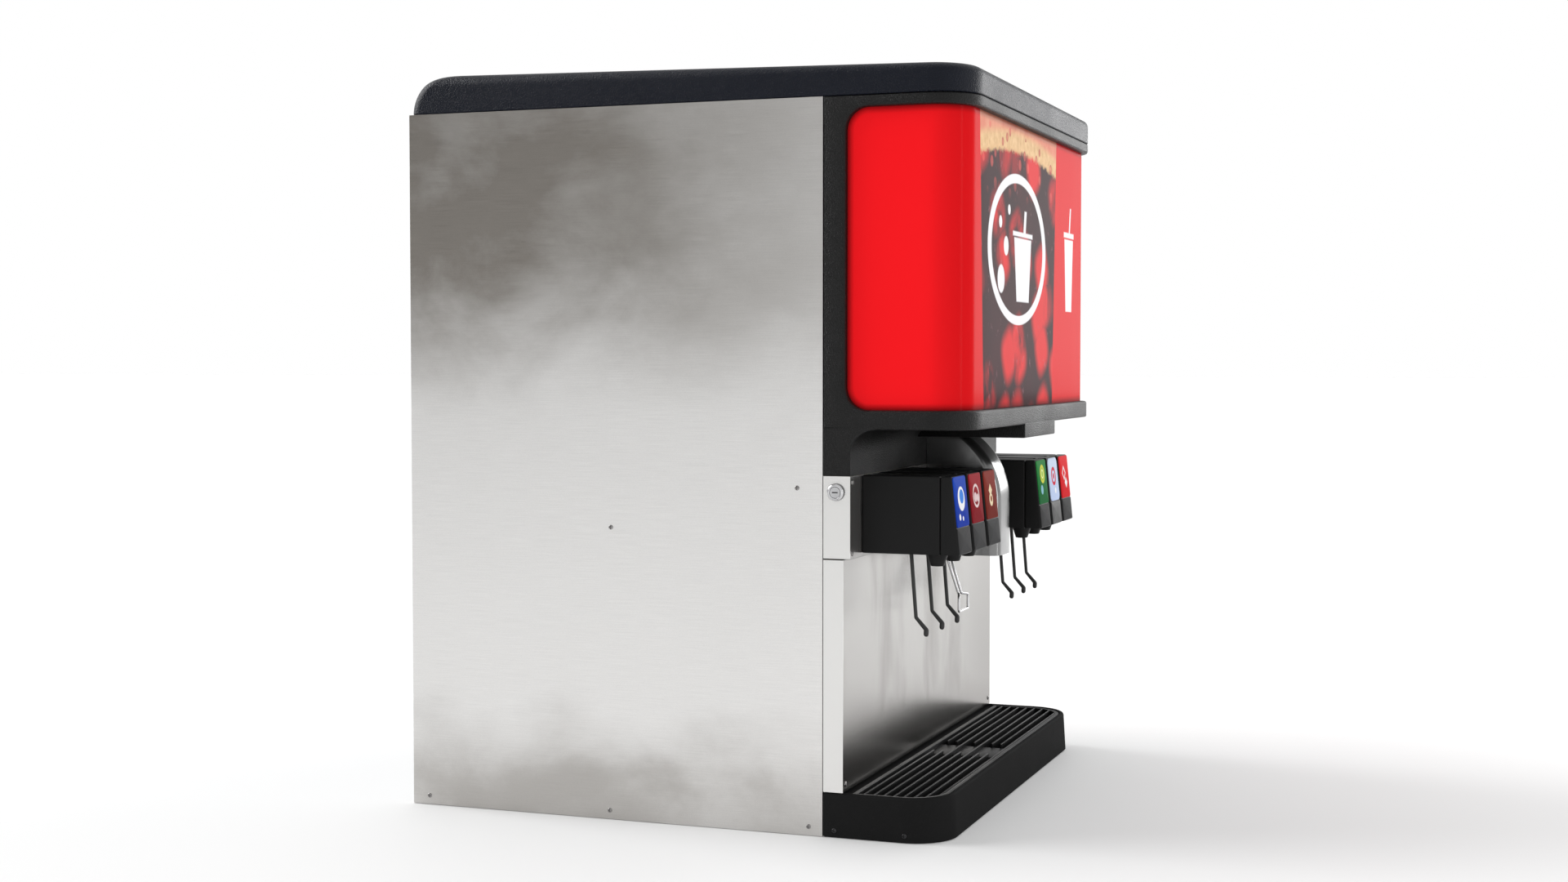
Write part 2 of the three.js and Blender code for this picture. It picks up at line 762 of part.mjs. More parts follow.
function signPanel() {
  const [z0, z1] = [bezel.windowBottom - 11, bezel.top - bezel.wall - gap];
  const sheetWidth = sign.inset + sign.thickness;
  return cut(
    alongZ(frontPlan(bezelReach, sign.inset, ahead(sign.rear)), z0, z1),
    alongZ(frontPlan(bezelReach, sheetWidth, ahead(sign.rear) + 5), z0 - 1, z1 + 1),
  );
}

function lightBoxBack() {
  const x = half - sign.inset - sign.thickness - 1;
  const face = ahead(boxBack.reach);
  const parts = [block(-x, x, face - sheet, face, boxBack.bottom, boxBack.top)];
  for (const s of [-1, 1]) {
    const [x0, x1] = [s * lamp.holderX, s * (lamp.holderX + lamp.holderWidth)];
    parts.push(block(x0, x1, ahead(lamp.reach + 14), face, lamp.z - 16, lamp.z + 16));
  }
  return join(...parts);
}

function ballast() {
  const back = ahead(boxBack.reach) + gap;
  return block(130, 280, back, back + 34, 600, 640);
}

const lampEnd = lamp.holderX - gap;
dispenser.add(
  piece("merchandiser_housing", merchandiserHousing(), finishes.bezelPlastic),
  piece("sign_panel", signPanel(), finishes.signPlastic),
  piece("light_box_back", lightBoxBack(), finishes.whitePaint),
  piece(
    "lamp_tube",
    round("x", -lampEnd, lampEnd, [ahead(lamp.reach), lamp.z], lamp.radius, 16),
    finishes.lampGlass,
  ),
  piece("lamp_ballast", ballast(), finishes.whitePaint),
);

// ---- Lid: a foam-filled moulding that lifts off, with a plug and a gasket ---------------------

const lid = {
  bottom: panelTop + gap,
  sideRounding: 12,
  rearRounding: 37,
  rearCorner: 14,
  straightShare: 0.7, // the sides are upright over this share of the height
};

// One ring of the lid's skin at a share of its height. The rear rolls over as a quarter ellipse.
function lidRing(share, edgeInset) {
  const rearInset = lid.rearRounding * (1 - Math.sqrt(1 - share * share));
  const [x, y0, y1] = [half - edgeInset, ahead(bezelReach) + edgeInset, rearY - rearInset];
  const height = (y) => {
    const along = (y - ahead(bezelReach)) / (cabinetDepth + bezelReach);
    return lidFrontHeight + (lidRearHeight - lidFrontHeight) * along;
  };
  const frontR = cornerRadius - edgeInset;
  const rearR = lid.rearCorner + rearInset / 2;
  const corners = [
    { x: -x + frontR, y: y0 + frontR, r: frontR, start: Math.PI },
    { x: x - frontR, y: y0 + frontR, r: frontR, start: 1.5 * Math.PI },
    { x: x - rearR, y: y1 - rearR, r: rearR, start: 0 },
    { x: -x + rearR, y: y1 - rearR, r: rearR, start: 0.5 * Math.PI },
  ];
  const points = [];
  for (const c of corners) {
    for (let i = 0; i <= curveSteps; i++) {
      const angle = c.start + (Math.PI / 2) * (i / curveSteps);
      const y = c.y + c.r * Math.sin(angle);
      points.push(new THREE.Vector3(c.x + c.r * Math.cos(angle), y, lid.bottom + height(y) * share));
    }
  }
  return points;
}

const rimTop = foamTop + gap + rimThickness;
const plug = { x: linerX - linerWall - 5, y0: cavityFront + 10, y1: cavityRear - 10, depth: 22 };

function lidSolid() {
  const rings = [lidRing(0, 0), lidRing(0.35, 0)];
  const steps = 6;
  for (let i = 0; i <= steps; i++) {
    const angle = (Math.PI / 2) * (i / steps);
    const share = lid.straightShare + (1 - lid.straightShare) * Math.sin(angle);
    rings.push(lidRing(Math.min(share, 1), lid.sideRounding * (1 - Math.cos(angle))));
  }
  const top = lid.bottom + 1;
  return join(loft(rings), block(-plug.x, plug.x, plug.y0, plug.y1, lid.bottom - plug.depth, top));
}

function gasket() {
  const [z0, z1] = [rimTop + gap, lid.bottom - gap];
  const margin = 14;
  const [x, y0, y1] = [plug.x + margin, plug.y0 - margin, plug.y1 + margin];
  return cut(
    block(-x, x, y0, y1, z0, z1),
    block(-plug.x - gap, plug.x + gap, plug.y0 - gap, plug.y1 + gap, z0 - 1, z1 + 1),
  );
}

dispenser.add(
  piece("lid", lidSolid(), finishes.lidPlastic),
  piece("lid_gasket", gasket(), finishes.rubber),
);

// ---- Drip tray: basin, lift-out grille and drain ----------------------------------------------

const tray = {
  reachBottom: 139.5,
  reachTop: 136.5,
  rim: 6,
  floor: 6,
  shelf: 6,
  shelfZ: 37,
  rear: 31, // rear edge of the grille's seat
  channelWall: 4,
};
const grille = {
  clearance: 0.5,
  frame: 5,
  bars: 8,
  firstBar: 44,
  barPitch: 11.25,
  barWidth: 2.6,
  drop: 1, // the bars lie this far below the rim
  webHalf: 31.5,
  webTop: 43,
  ribX: 165,
  ribHeight: 4,
  through: [2, 4, 7], // bars that run on over the middle web
};

function trayRing(reach, z) {
  const plan = frontPlan(reach, 0, ahead(seam)).getPoints(curveSteps);
  const corners = plan.filter((p, i) => p.distanceTo(plan[(i + 1) % plan.length]) > 1e-3);
  return corners.map((p) => new THREE.Vector3(p.x, p.y, z));
}

// The plan of the grille's seat, taken in by an inset on all sides.
function seatPlan(inset) {
  return frontPlan(tray.reachTop, tray.rim + inset, ahead(tray.rear + inset));
}

function dripTray() {
  const { channelWall: w, floor, shelf, shelfZ, rear } = tray;
  const body = loft([trayRing(tray.reachBottom, 0), trayRing(tray.reachTop, trayTop)]);
  return cut(
    body,
    alongZ(seatPlan(0), shelfZ, trayTop + 1),
    alongZ(seatPlan(shelf), floor, shelfZ + 1),
    block(-half + w, half - w, ahead(seam + w), ahead(rear - w), floor, trayTop + 1),
    round("y", ahead(rear + shelf + 1), frontY + 1, [0, drainHeight], drainRadius + gap, 24),
  );
}

function drainSpigot() {
  const [y0, y1] = [ahead(tray.rear + tray.shelf), behind(60)];
  return cut(
    round("y", y0, y1, [0, drainHeight], drainRadius, 24),
    round("y", y0 - 1, y1 + 1, [0, drainHeight], drainRadius - 2, 16),
  );
}

// The grille is one moulding: slots between the bars, and a lowered web across the middle.
function dripGrille() {
  const { clearance, frame, bars, firstBar, barPitch, barWidth, webHalf, webTop, through } = grille;
  const [z0, z1] = [tray.shelfZ + gap, trayTop - grille.drop];
  const inside = alongZ(seatPlan(clearance + frame), z0 - 1, z1 + 1);
  const barRear = (i) => ahead(firstBar + i * barPitch - barWidth / 2);
  const barFront = (i) => ahead(firstBar + i * barPitch + barWidth / 2);
  const slots = [];
  for (let i = 0; i <= bars; i++) {
    const y0 = i === bars ? ahead(tray.reachTop) : barRear(i);
    const y1 = i === 0 ? ahead(tray.rear) : barFront(i - 1);
    for (const side of [-1, 1]) {
      const [x0, x1, x2] = [side * webHalf, side * grille.ribX, side * half];
      slots.push(
        block(x0, x1 - side * 1.5, y0, y1, z0 - 1, z1 + 1),
        block(x1 + side * 1.5, x2, y0, y1, z0 - 1, z1 + 1),
        block(x1 - side * 3, x1 + side * 3, y0, y1, z0 + grille.ribHeight, z1 + 1),
      );
    }
  }
  const [rear, front] = [ahead(tray.rear), ahead(tray.reachTop)];
  const ends = [rear, ...through.flatMap((i) => [barRear(i), barFront(i)]), front];
  for (let i = 0; i < ends.length; i += 2) {
    slots.push(block(-webHalf - 1, webHalf + 1, ends[i + 1], ends[i], webTop, z1 + 1));
  }
  return cut(alongZ(seatPlan(clearance), z0, z1), join(...slots).intersect(inside));
}

dispenser.add(
  piece("drip_tray", dripTray(), finishes.trayPlastic),
  piece("drip_grille", dripGrille(), finishes.trayPlastic),
  piece("drain_spigot", drainSpigot(), finishes.linerPlastic),
);

// ---- Valves: body, cover, nozzle and lever, six times -----------------------------------------
// Each valve is made in its own frame: X = 0 on its centre line, Y = 0 on the valve panel's face
// and Z = 0 at the underside of its cover.

const valve = {
  coverHalf: 26.5,
  coverWall: 2,
  height: 85.5,
  noseTop: 102,
  noseBottom: 111,
  bodyHalf: 22,
  nozzleReach: 79,
  nozzleTopRadius: 11,
  nozzleTipRadius: 7.5,
  nozzleTip: -14,
  leverRadius: 2.1,
  leverReach: 48.5,
  leverPivotZ: 14,
};

function valveBody() {
  const { bodyHalf: b, nozzleReach, nozzleTopRadius, leverReach, leverPivotZ } = valve;
  const stem = round("z", 44, 74, [0, -62], 15, 16); // solenoid coil
  const side = outline([
    [0, 3],
    [-97, 3],
    [-97, 46],
    [-30, 46],
    [-30, 70],
    [0, 70],
  ]);
  const socket = round("z", -1, 14, [0, -nozzleReach], nozzleTopRadius + gap, 20);
  const slot = block(-13, 13, -leverReach - 10, -leverReach + 9, 0, leverPivotZ + 8);
  return cut(join(alongX(side, -b, b), stem), socket, slot);
}

function coverSide(inset, rear, bottom) {
  const { noseTop, noseBottom, height } = valve;
  return outline([
    [rear, bottom],
    [-noseBottom + inset, bottom],
    [-noseTop + inset, height - inset],
    [rear, height - inset],
  ]);
}

function valveCover() {
  const { coverHalf: c, coverWall: w } = valve;
  return cut(alongX(coverSide(0, -1, 0), -c, c), alongX(coverSide(w, 3, -5), -c + w, c - w));
}

// The diffuser inside closes the nozzle just above its tip.
function nozzle() {
  const { nozzleTopRadius: r, nozzleTipRadius: tip, nozzleTip: end } = valve;
  const profile = [
    [0, end + 3],
    [tip - 2, end + 3],
    [tip - 1.5, end],
    [tip, end],
    [r, -3],
    [r, 13],
    [0, 13],
  ].map(([x, y]) => new THREE.Vector2(x, y));
  const turned = new THREE.LatheGeometry(profile, 20).rotateX(Math.PI / 2);
  return solid(turned.translate(0, -valve.nozzleReach, 0));
}

// A moulded lever: a leg that hangs behind the cup, a knee and a short toe.
function lever() {
  const { leverRadius: r, leverReach: y, leverPivotZ: z } = valve;
  const leg = [
    [0, -y, z],
    [0, -y - 2.5, -20],
    [0, -y - 5.8, -66],
    [0, -y - 7.2, -72.5],
    [0, -y - 11.5, -78],
    [0, -y - 17, -84],
    [0, -y - 18.4, -87],
    [0, -y - 18.3, -90.5],
  ];
  return join(rod(leg, r, 12, 7), round("x", -12.7, 12.7, [-y, z], r + 0.6, 10));
}

valveOffsets.forEach((offset, i) => {
  const group = new THREE.Group();
  group.position.set(groupOffset + offset, ahead(valvePanelReach) - gap, valveBase);
  const n = i + 1;
  group.add(
    piece(`valve_body_${n}`, valveBody(), finishes.coverPlastic),
    piece(`valve_cover_${n}`, valveCover(), finishes.coverPlastic),
    piece(`nozzle_${n}`, nozzle(), finishes.coverPlastic),
    piece(`lever_${n}`, lever(), finishes.leverPlastic),
  );
  dispenser.add(group);
});

export default dispenser;
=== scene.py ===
import bmesh
import bpy
import numpy as np
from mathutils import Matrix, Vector


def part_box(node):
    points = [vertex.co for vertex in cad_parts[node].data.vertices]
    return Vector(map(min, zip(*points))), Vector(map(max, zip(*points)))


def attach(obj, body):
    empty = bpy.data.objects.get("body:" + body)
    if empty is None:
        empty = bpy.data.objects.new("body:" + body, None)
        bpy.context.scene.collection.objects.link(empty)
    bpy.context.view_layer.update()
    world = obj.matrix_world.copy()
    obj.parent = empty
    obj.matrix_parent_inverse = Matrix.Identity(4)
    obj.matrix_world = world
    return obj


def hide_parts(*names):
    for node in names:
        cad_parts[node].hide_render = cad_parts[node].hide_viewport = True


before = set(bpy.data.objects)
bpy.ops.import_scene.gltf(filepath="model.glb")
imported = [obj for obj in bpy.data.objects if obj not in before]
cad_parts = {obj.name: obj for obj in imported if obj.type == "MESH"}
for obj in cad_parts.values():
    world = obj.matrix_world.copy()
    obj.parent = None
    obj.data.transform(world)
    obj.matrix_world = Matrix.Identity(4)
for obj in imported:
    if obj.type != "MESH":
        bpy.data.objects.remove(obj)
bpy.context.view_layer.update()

# ---- Cabinet skins ------------------------------------------------------------------------------
# The two side panels are brushed stainless sheet with folded edges, and carry the whole cabinet.
# The base pan, the louvred rear panel and the frame under the bin are galvanised sheet.

HALF = 0.3175
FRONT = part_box("side_panel_left")[0].y
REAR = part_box("side_panel_left")[1].y
PANEL_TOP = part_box("side_panel_left")[1].z


def node(tree, kind, inputs=(), **settings):
    """A shader node with its settings. An input is linked to a worked-out value, or set to a plain
    one."""
    made = tree.nodes.new("ShaderNode" + kind)
    for key, value in settings.items():
        setattr(made, key, value)
    for key, value in dict(inputs).items():
        if isinstance(value, Value):
            tree.links.new(value.socket, made.inputs[key])
        else:
            made.inputs[key].default_value = value
    return made


class Value:
    """A number or colour that nodes work out at each point. It adds and multiplies as a plain number
    does."""

    def __init__(self, socket):
        self.socket = socket

    def __add__(self, other):
        return worked("ADD", self, other)

    def __sub__(self, other):
        return worked("SUBTRACT", self, other)

    def __rsub__(self, other):
        return worked("SUBTRACT", other, self)

    def __mul__(self, other):
        return worked("MULTIPLY", self, other)

    def __abs__(self):
        return worked("ABSOLUTE", self)

    __radd__, __rmul__ = __add__, __mul__


def worked(operation, *terms):
    """The result of a sum over values and plain numbers, of which at least one is a value."""
    tree = next(term for term in terms if isinstance(term, Value)).socket.id_data
    return Value(node(tree, "Math", enumerate(terms), operation=operation).outputs[0])


def most(first, second):
    return worked("MAXIMUM", first, second)


def distance(first, second):
    """The root of the sum of two squares."""
    return worked("SQRT", first * first + second * second)


class Finish:
    """A material in the making. Its patterns are worked out in the object's own coordinates."""

    def __init__(self, name, **sockets):
        self.material = bpy.data.materials.new(name)
        self.material.use_nodes = True
        self.tree = self.material.node_tree
        self.shader = self.tree.nodes["Principled BSDF"]
        for key, value in sockets.items():
            self.shader.inputs[key.replace("_", " ")].default_value = value

    @classmethod
    def of(cls, material):
        """A finished material, opened again."""
        opened = cls.__new__(cls)
        opened.material, opened.tree = material, material.node_tree
        opened.shader = opened.tree.nodes["Principled BSDF"]
        return opened

    def painted(self, socket):
        return Value(self.shader.inputs[socket].links[0].from_socket)

    def position(self):
        """X, Y and Z, in metres."""
        place = Value(node(self.tree, "TexCoord").outputs["Object"])
        return [Value(socket) for socket in node(self.tree, "SeparateXYZ", {0: place}).outputs]

    def stretched(self, stretch, turn=0.0):
        """The place, stretched by different scales along X, Y and Z and turned about Y."""
        place = Value(node(self.tree, "TexCoord").outputs["Object"])
        spread = {"Vector": place, "Scale": stretch, "Rotation": (0, turn, 0)}
        return Value(node(self.tree, "Mapping", spread).outputs[0])

    def noise(self, scale, detail=4.0, roughness=0.5, stretch=(1, 1, 1), distortion=0.0):
        look = {"Scale": scale, "Detail": detail, "Roughness": roughness, "Distortion": distortion}
        made = node(self.tree, "TexNoise", {"Vector": self.stretched(stretch), **look})
        return Value(made.outputs["Fac"])

    def cells(self, scale, stretch=(1, 1, 1), turn=0.0, inputs=(), **settings):
        """Cells: how far a point is from its cell's middle, and two random numbers of the cell."""
        look = {"Vector": self.stretched(stretch, turn), "Scale": scale, **dict(inputs)}
        made = node(self.tree, "TexVoronoi", look, **settings)
        random = node(self.tree, "SeparateColor", {0: Value(made.outputs["Color"])}).outputs
        return Value(made.outputs["Distance"]), Value(random[0]), Value(random[1])

    def relief(self, height, strength, depth):
        look = {"Height": height, "Strength": strength, "Distance": depth}
        return Value(node(self.tree, "Bump", look).outputs[0])

    def paint(self, **sockets):
        """Links worked-out values to the shader, and gives back the material."""
        for key, value in sockets.items():
            self.tree.links.new(value.socket, self.shader.inputs[key.replace("_", " ")])
        return self.material


def between(value, low, high, to_low=0.0, to_high=1.0):
    """A value's smooth rise from to_low at low to to_high at high."""
    reach = {"From Min": low, "From Max": high, "To Min": to_low, "To Max": to_high}
    made = node(value.socket.id_data, "MapRange", {"Value": value, **reach}, interpolation_type="SMOOTHSTEP")
    return Value(made.outputs[0])


def blended(share, first, second):
    """The colour that is a share of the way from the first to the second."""
    made = node(share.socket.id_data, "Mix", {0: share, 6: first, 7: second}, data_type="RGBA")
    return Value(made.outputs[2])


def near(colour, darker, lighter):
    """Two tones of a colour, for a pattern to run between."""
    return tuple(part * darker for part in colour) + (1,), tuple(part * lighter for part in colour) + (1,)


# Heights and depths of the painted reflection that darkens brushed steel high up, at the rear and at the
# foot.
REFLECTED_SHADE_TOP, REFLECTED_SHADE_FILM, REFLECTED_SHADE_FOOT = (0.55, 0.75), (0.52, 0.72), (0.07, -0.05)
REFLECTED_SHADE_FRONT, REFLECTED_SHADE_REAR = -0.24, 0.22
LINE_DEPTH = 0.0004


def brushed_steel(name, light, dark, grain, clouds_and_reflection=1.0, rough=0.3, relief=0.1, spread=1.4):
    """Brushed stainless: fine lines along the grain in gloss and relief, and soft clouds at random where
    polish and handling differ. Painted reflection darkens it high up, most at the rear, and in a low band
    at the foot."""
    steel = Finish(name, Metallic=1.0)
    _, depth, height = steel.position()
    wisps = steel.noise(6.0, 8.0, 0.56, (1, 1, 1.5), 0.2)
    cloud = wisps * 0.6 + steel.noise(2.3, 3.0, 0.5, (1, 1, 1.6)) * 0.4
    edge = height + cloud * 0.18
    patches = between(cloud, 0.32, 0.64, 0.55, 1.0)
    # Painted reflection: darker high up and towards the rear, and in a low band at the foot.
    reflected_top = between(edge, *REFLECTED_SHADE_TOP) * between(depth, REFLECTED_SHADE_FRONT, REFLECTED_SHADE_REAR, 0.2, 1.0) * patches
    reflected_film = between(edge, *REFLECTED_SHADE_FILM, 0.0, 0.2)
    reflected_foot = between(height - cloud * 0.16, *REFLECTED_SHADE_FOOT) * between(cloud, 0.40, 0.60, 0.55, 1.0)
    share = (reflected_top + reflected_film + reflected_foot * 0.62 + (cloud - 0.5) * 0.12) * clouds_and_reflection
    lines = steel.noise(1.0, 2.0, 0.6, grain)
    streak = (lines + steel.noise(1400.0, 2.0, 0.7)) * 0.5
    shade = {0: blended(share, light, dark), "Scale": between(streak, 0.2, 0.8, 0.9, 1.06)}
    return steel.paint(
        Base_Color=Value(node(steel.tree, "VectorMath", shade, operation="SCALE").outputs[0]),
        Roughness=between(lines + cloud * 0.4, 0.4, 1.0, rough, rough * spread),
        Normal=steel.relief(streak, relief, LINE_DEPTH),
    )


def soften(name, width=0.0004, angle=36):
    """Finishes a CAD node's surface: its points are welded, its curves shaded smooth and, if a width is
    given, edges sharper than the angle are rounded by it."""
    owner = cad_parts[name]
    weld = owner.modifiers.new("weld", "WELD")
    weld.merge_threshold = 1e-5
    smooth = owner.modifiers.new("smooth", "NODES")
    smooth.node_group = smooth_shading
    if width:
        bevel = owner.modifiers.new("bevel", "BEVEL")
        bevel.width, bevel.segments, bevel.angle_limit = width, 2, np.radians(angle)
        bevel.harden_normals = True
    return owner


def shading_by_angle(limit=34):
    """A node group that shades faces smooth, and keeps edges sharper than the limit sharp."""
    group = bpy.data.node_groups.new("smooth_shading", "GeometryNodeTree")
    for direction in ("INPUT", "OUTPUT"):
        group.interface.new_socket("Geometry", in_out=direction, socket_type="NodeSocketGeometry")
    kinds = ("NodeGroupInput", "GeometryNodeSetShadeSmooth", "GeometryNodeSetShadeSmooth", "NodeGroupOutput")
    way_in, faces, edges, way_out = (group.nodes.new(kind) for kind in kinds)
    bend = group.nodes.new("GeometryNodeInputMeshEdgeAngle")
    gentle = group.nodes.new("FunctionNodeCompare")
    gentle.operation = "LESS_THAN"
    gentle.inputs[1].default_value = np.radians(limit)
    edges.domain = "EDGE"
    group.links.new(bend.outputs["Unsigned Angle"], gentle.inputs[0])
    group.links.new(gentle.outputs[0], edges.inputs["Shade Smooth"])
    group.links.new(way_in.outputs[0], faces.inputs[0])
    group.links.new(faces.outputs[0], edges.inputs[0])
    group.links.new(edges.outputs[0], way_out.inputs[0])
    return group


smooth_shading = shading_by_angle()


def cover(material, *names, width=0.0004, angle=36):
    """Gives CAD nodes a finish and soft edges."""
    for name in names:
        owner = soften(name, width, angle)
        owner.data.materials.clear()
        owner.data.materials.append(material)


side_steel = brushed_steel(
    "side_steel", (0.87, 0.862, 0.848, 1), (0.31, 0.288, 0.262, 1), (22, 22, 1500)
)
cover(side_steel, "side_panel_left", "side_panel_right", width=0.0005)


def galvanised():
    """Galvanised sheet: flat crystals of zinc, each a slightly different grey, with a dull gloss."""
    zinc = Finish("galvanised", Metallic=1.0)
    _, grey, _ = zinc.cells(130.0)
    share = grey * 0.35 + zinc.noise(9.0, 6.0, 0.6) * 0.65
    return zinc.paint(
        Base_Color=blended(share, (0.38, 0.39, 0.40, 1), (0.62, 0.63, 0.64, 1)),
        Roughness=between(share, 0.2, 0.8, 0.38, 0.56),
        Normal=zinc.relief(grey, 0.05, 0.0003),
    )


zinc = galvanised()
cover(zinc, "base_pan", "rear_panel", "bin_cradle", "control_box", width=0.0003)


def surface(name, *grids, uv=None, sharp=34):
    """A mesh of quads over grids of points (rows, columns, 3). Points that meet are merged, which
    closes seams and poles, and the faces are turned outwards. Edges sharper than the angle stay
    sharp."""
    points, quads, first = [], [], 0
    for grid in grids:
        rows, columns = grid.shape[:2]
        index = first + np.arange(rows * columns).reshape(rows, columns)
        corners = (index[:-1, :-1], index[:-1, 1:], index[1:, 1:], index[1:, :-1])
        quads.append(np.stack(corners, -1).reshape(-1, 4))
        points.append(grid.reshape(-1, 3))
        first += rows * columns
    points, quads = np.vstack(points), np.vstack(quads)
    mesh = bpy.data.meshes.new(name)
    mesh.from_pydata(points.tolist(), [], quads.tolist())
    if uv is not None:
        layer = mesh.uv_layers.new(name="UVMap")
        layer.data.foreach_set("uv", uv.reshape(-1, 2)[quads.ravel()].ravel())
    made = bmesh.new()
    made.from_mesh(mesh)
    bmesh.ops.remove_doubles(made, verts=made.verts, dist=2e-6)
    bmesh.ops.dissolve_degenerate(made, edges=made.edges, dist=1e-7)
    bmesh.ops.recalc_face_normals(made, faces=made.faces)
    made.to_mesh(mesh)
    made.free()
    mesh.polygons.foreach_set("use_smooth", np.ones(len(mesh.polygons), bool))
    mesh.set_sharp_from_angle(angle=np.radians(sharp))
    made = bpy.data.objects.new(name, mesh)
    bpy.context.scene.collection.objects.link(made)
    return made


def fit(made, material, body="cabinet", stands_for=()):
    """Fixes a finished piece to a body, in its material, and hides the CAD nodes it stands for."""
    made.data.materials.append(material)
    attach(made, body)
    if stands_for:
        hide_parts(*stands_for)
    return made


def turned(profile, sides=32):
    """A profile of (radius, height) points turned about the Z axis: the grid is profile points by
    angles."""
    radius, height = np.asarray(profile, float).T[:, :, None]
    angle = np.linspace(0, 2 * np.pi, sides + 1)[None]
    flat = np.zeros_like(angle)
    return np.stack([radius * np.cos(angle), radius * np.sin(angle), height + flat], -1)


SCREW_RADIUS = 0.0027
SLOT_HALF, SLOT_REACH, SLOT_DEPTH = 0.0004, 0.0017, 0.0009


def screw_heads(centres, outward):
    """Pan-head screws. A dome of revolution, sunk along a cross: a point goes down where it is near the
    middle and close to one of two diameters."""
    rings = np.array([1.0, 1.0, 0.96, 0.85, 0.72, 0.6, 0.48, 0.36, 0.24, 0.12, 0.0]) * SCREW_RADIUS
    rise = np.array([-0.3, 0.35, 0.65, 0.9, 1.02, 1.1, 1.14, 1.17, 1.19, 1.2, 1.2]) * 1e-3
    head = turned(np.stack([rings, rise], 1), 32)
    slot = np.minimum(abs(head[..., 0]), abs(head[..., 1])) < SLOT_HALF
    head[..., 2] -= SLOT_DEPTH * (slot & (np.hypot(head[..., 0], head[..., 1]) < SLOT_REACH))
    out = np.asarray(outward, float)
    across = np.cross(out, (0.0, 0.0, 1.0))
    up = np.cross(across, out)
    frame_of = np.stack([across, up, out])
    return [head @ frame_of + np.asarray(centre, float) for centre in centres]


def polished(name, colour, roughness):
    """Plated or polished metal, with faint wear in its gloss."""
    metal = Finish(name, Metallic=1.0)
    wear = metal.noise(60.0, 5.0, 0.6)
    return metal.paint(
        Base_Color=blended(wear, *near(colour, 0.9, 1.04)),
        Roughness=between(wear, 0.3, 0.7, roughness * 0.7, roughness * 1.5),
    )


screw_metal = polished("screw_metal", (0.36, 0.35, 0.345), 0.28)
side_screws = [(0.0294, 0.3808), (0.2524, 0.3318), (0.4865, 0.0103), (0.2547, 0.010), (0.016, 0.010)]
SIDE_SEAT, REAR_SEAT = HALF - 0.0001, REAR - 0.008
heads = []
for side in (-1, 1):
    centres = [(side * SIDE_SEAT, FRONT + y, z) for y, z in side_screws]
    heads += screw_heads(centres, (side, 0, 0))
rear_screws = [(x, REAR_SEAT, z) for x in (-0.3, 0.3) for z in (0.06, 0.3, 0.54, 0.77)]
rear_screws += [(x, REAR_SEAT, z) for x in (-0.1, 0.1) for z in (0.06, 0.77)]
heads += screw_heads(rear_screws, (0, 1, 0))
fit(surface("cabinet_screws", *heads), screw_metal)


def moulded(name, colour, grain=1500.0, relief=0.25, roughness=0.48, gloss=0.22, fleck=0.25):
    """Moulded plastic with a fine grain: pebbles in relief, and slight unevenness of colour and
    gloss."""
    plastic = Finish(name, Specular_IOR_Level=gloss)
    pebbles, _, _ = plastic.cells(grain, inputs={"Smoothness": 1.0}, feature="SMOOTH_F1")
    broad = plastic.noise(14.0, 5.0, 0.55)
    return plastic.paint(
        Base_Color=blended(pebbles * 0.5 + broad * 0.5, *near(colour, 1 - fleck, 1 + fleck)),
        Roughness=between(broad, 0.3, 0.7, roughness - 0.03, roughness + 0.03),
        Normal=plastic.relief(pebbles, relief, 1.0 / grain),
    )


black_cover = moulded("black_cover", (0.0155, 0.0155, 0.0157), 2200.0, 0.1, 0.42, 0.10)
cover(black_cover, "power_inlet", width=0.0008)

# ---- Ice bin ------------------------------------------------------------------------------------
# The bin is a white food-grade liner in poured foam, and stands on the cradle inside the skins.
# Its floor is a cast aluminium cold plate, which the syrup tubes leave for the valves.

white_liner = moulded("white_liner", (0.68, 0.69, 0.67), 900.0, 0.05, 0.4, 0.4, 0.04)
cover(white_liner, "bin_liner", "drain_spigot", "ice_chute", width=0.0006)


def poured_foam():
    """Poured foam: yellow-brown cells with a rough skin."""
    foam = Finish("poured_foam", Roughness=0.9, Specular_IOR_Level=0.2)
    cells, _, _ = foam.cells(420.0)
    share = cells * 0.5 + foam.noise(8.0, 6.0, 0.65) * 0.5
    return foam.paint(
        Base_Color=blended(share, (0.62, 0.50, 0.27, 1), (0.80, 0.70, 0.44, 1)),
        Normal=foam.relief(cells, 0.5, 0.0008),
    )


cover(poured_foam(), "bin_insulation", width=0.0008)


def cast_aluminium():
    """Sand-cast aluminium: a coarse dull skin with darker pits."""
    metal = Finish("cast_aluminium", Metallic=1.0)
    skin = metal.noise(320.0, 6.0, 0.65)
    return metal.paint(
        Base_Color=blended(skin, (0.46, 0.47, 0.48, 1), (0.72, 0.73, 0.74, 1)),
        Roughness=between(skin, 0.3, 0.7, 0.62, 0.45),
        Normal=metal.relief(skin, 0.35, 0.0006),
    )


cover(cast_aluminium(), "cold_plate", width=0.0006)

# ---- Ice drive ----------------------------------------------------------------------------------
# A geared motor in front of the bin turns a steel shaft through a rubber-sealed bushing.
# The shaft carries a moulded paddle wheel, which lifts ice to the outlet, and a bent rod that breaks it up.

plain_steel = brushed_steel(
    "plain_steel", (0.62, 0.61, 0.60, 1), (0.4, 0.39, 0.38, 1), (500, 500, 40), clouds_and_reflection=0.3
)
steel_parts = ("agitator_shaft", "agitator_arm", "ice_gate", "gate_plunger", "soda_manifold")
cover(plain_steel, *steel_parts, width=0.0005)
wheel_plastic = moulded("wheel_plastic", (0.66, 0.65, 0.60), 800.0, 0.05, 0.38, 0.4, 0.05)
cover(wheel_plastic, "paddle_wheel", width=0.0008)


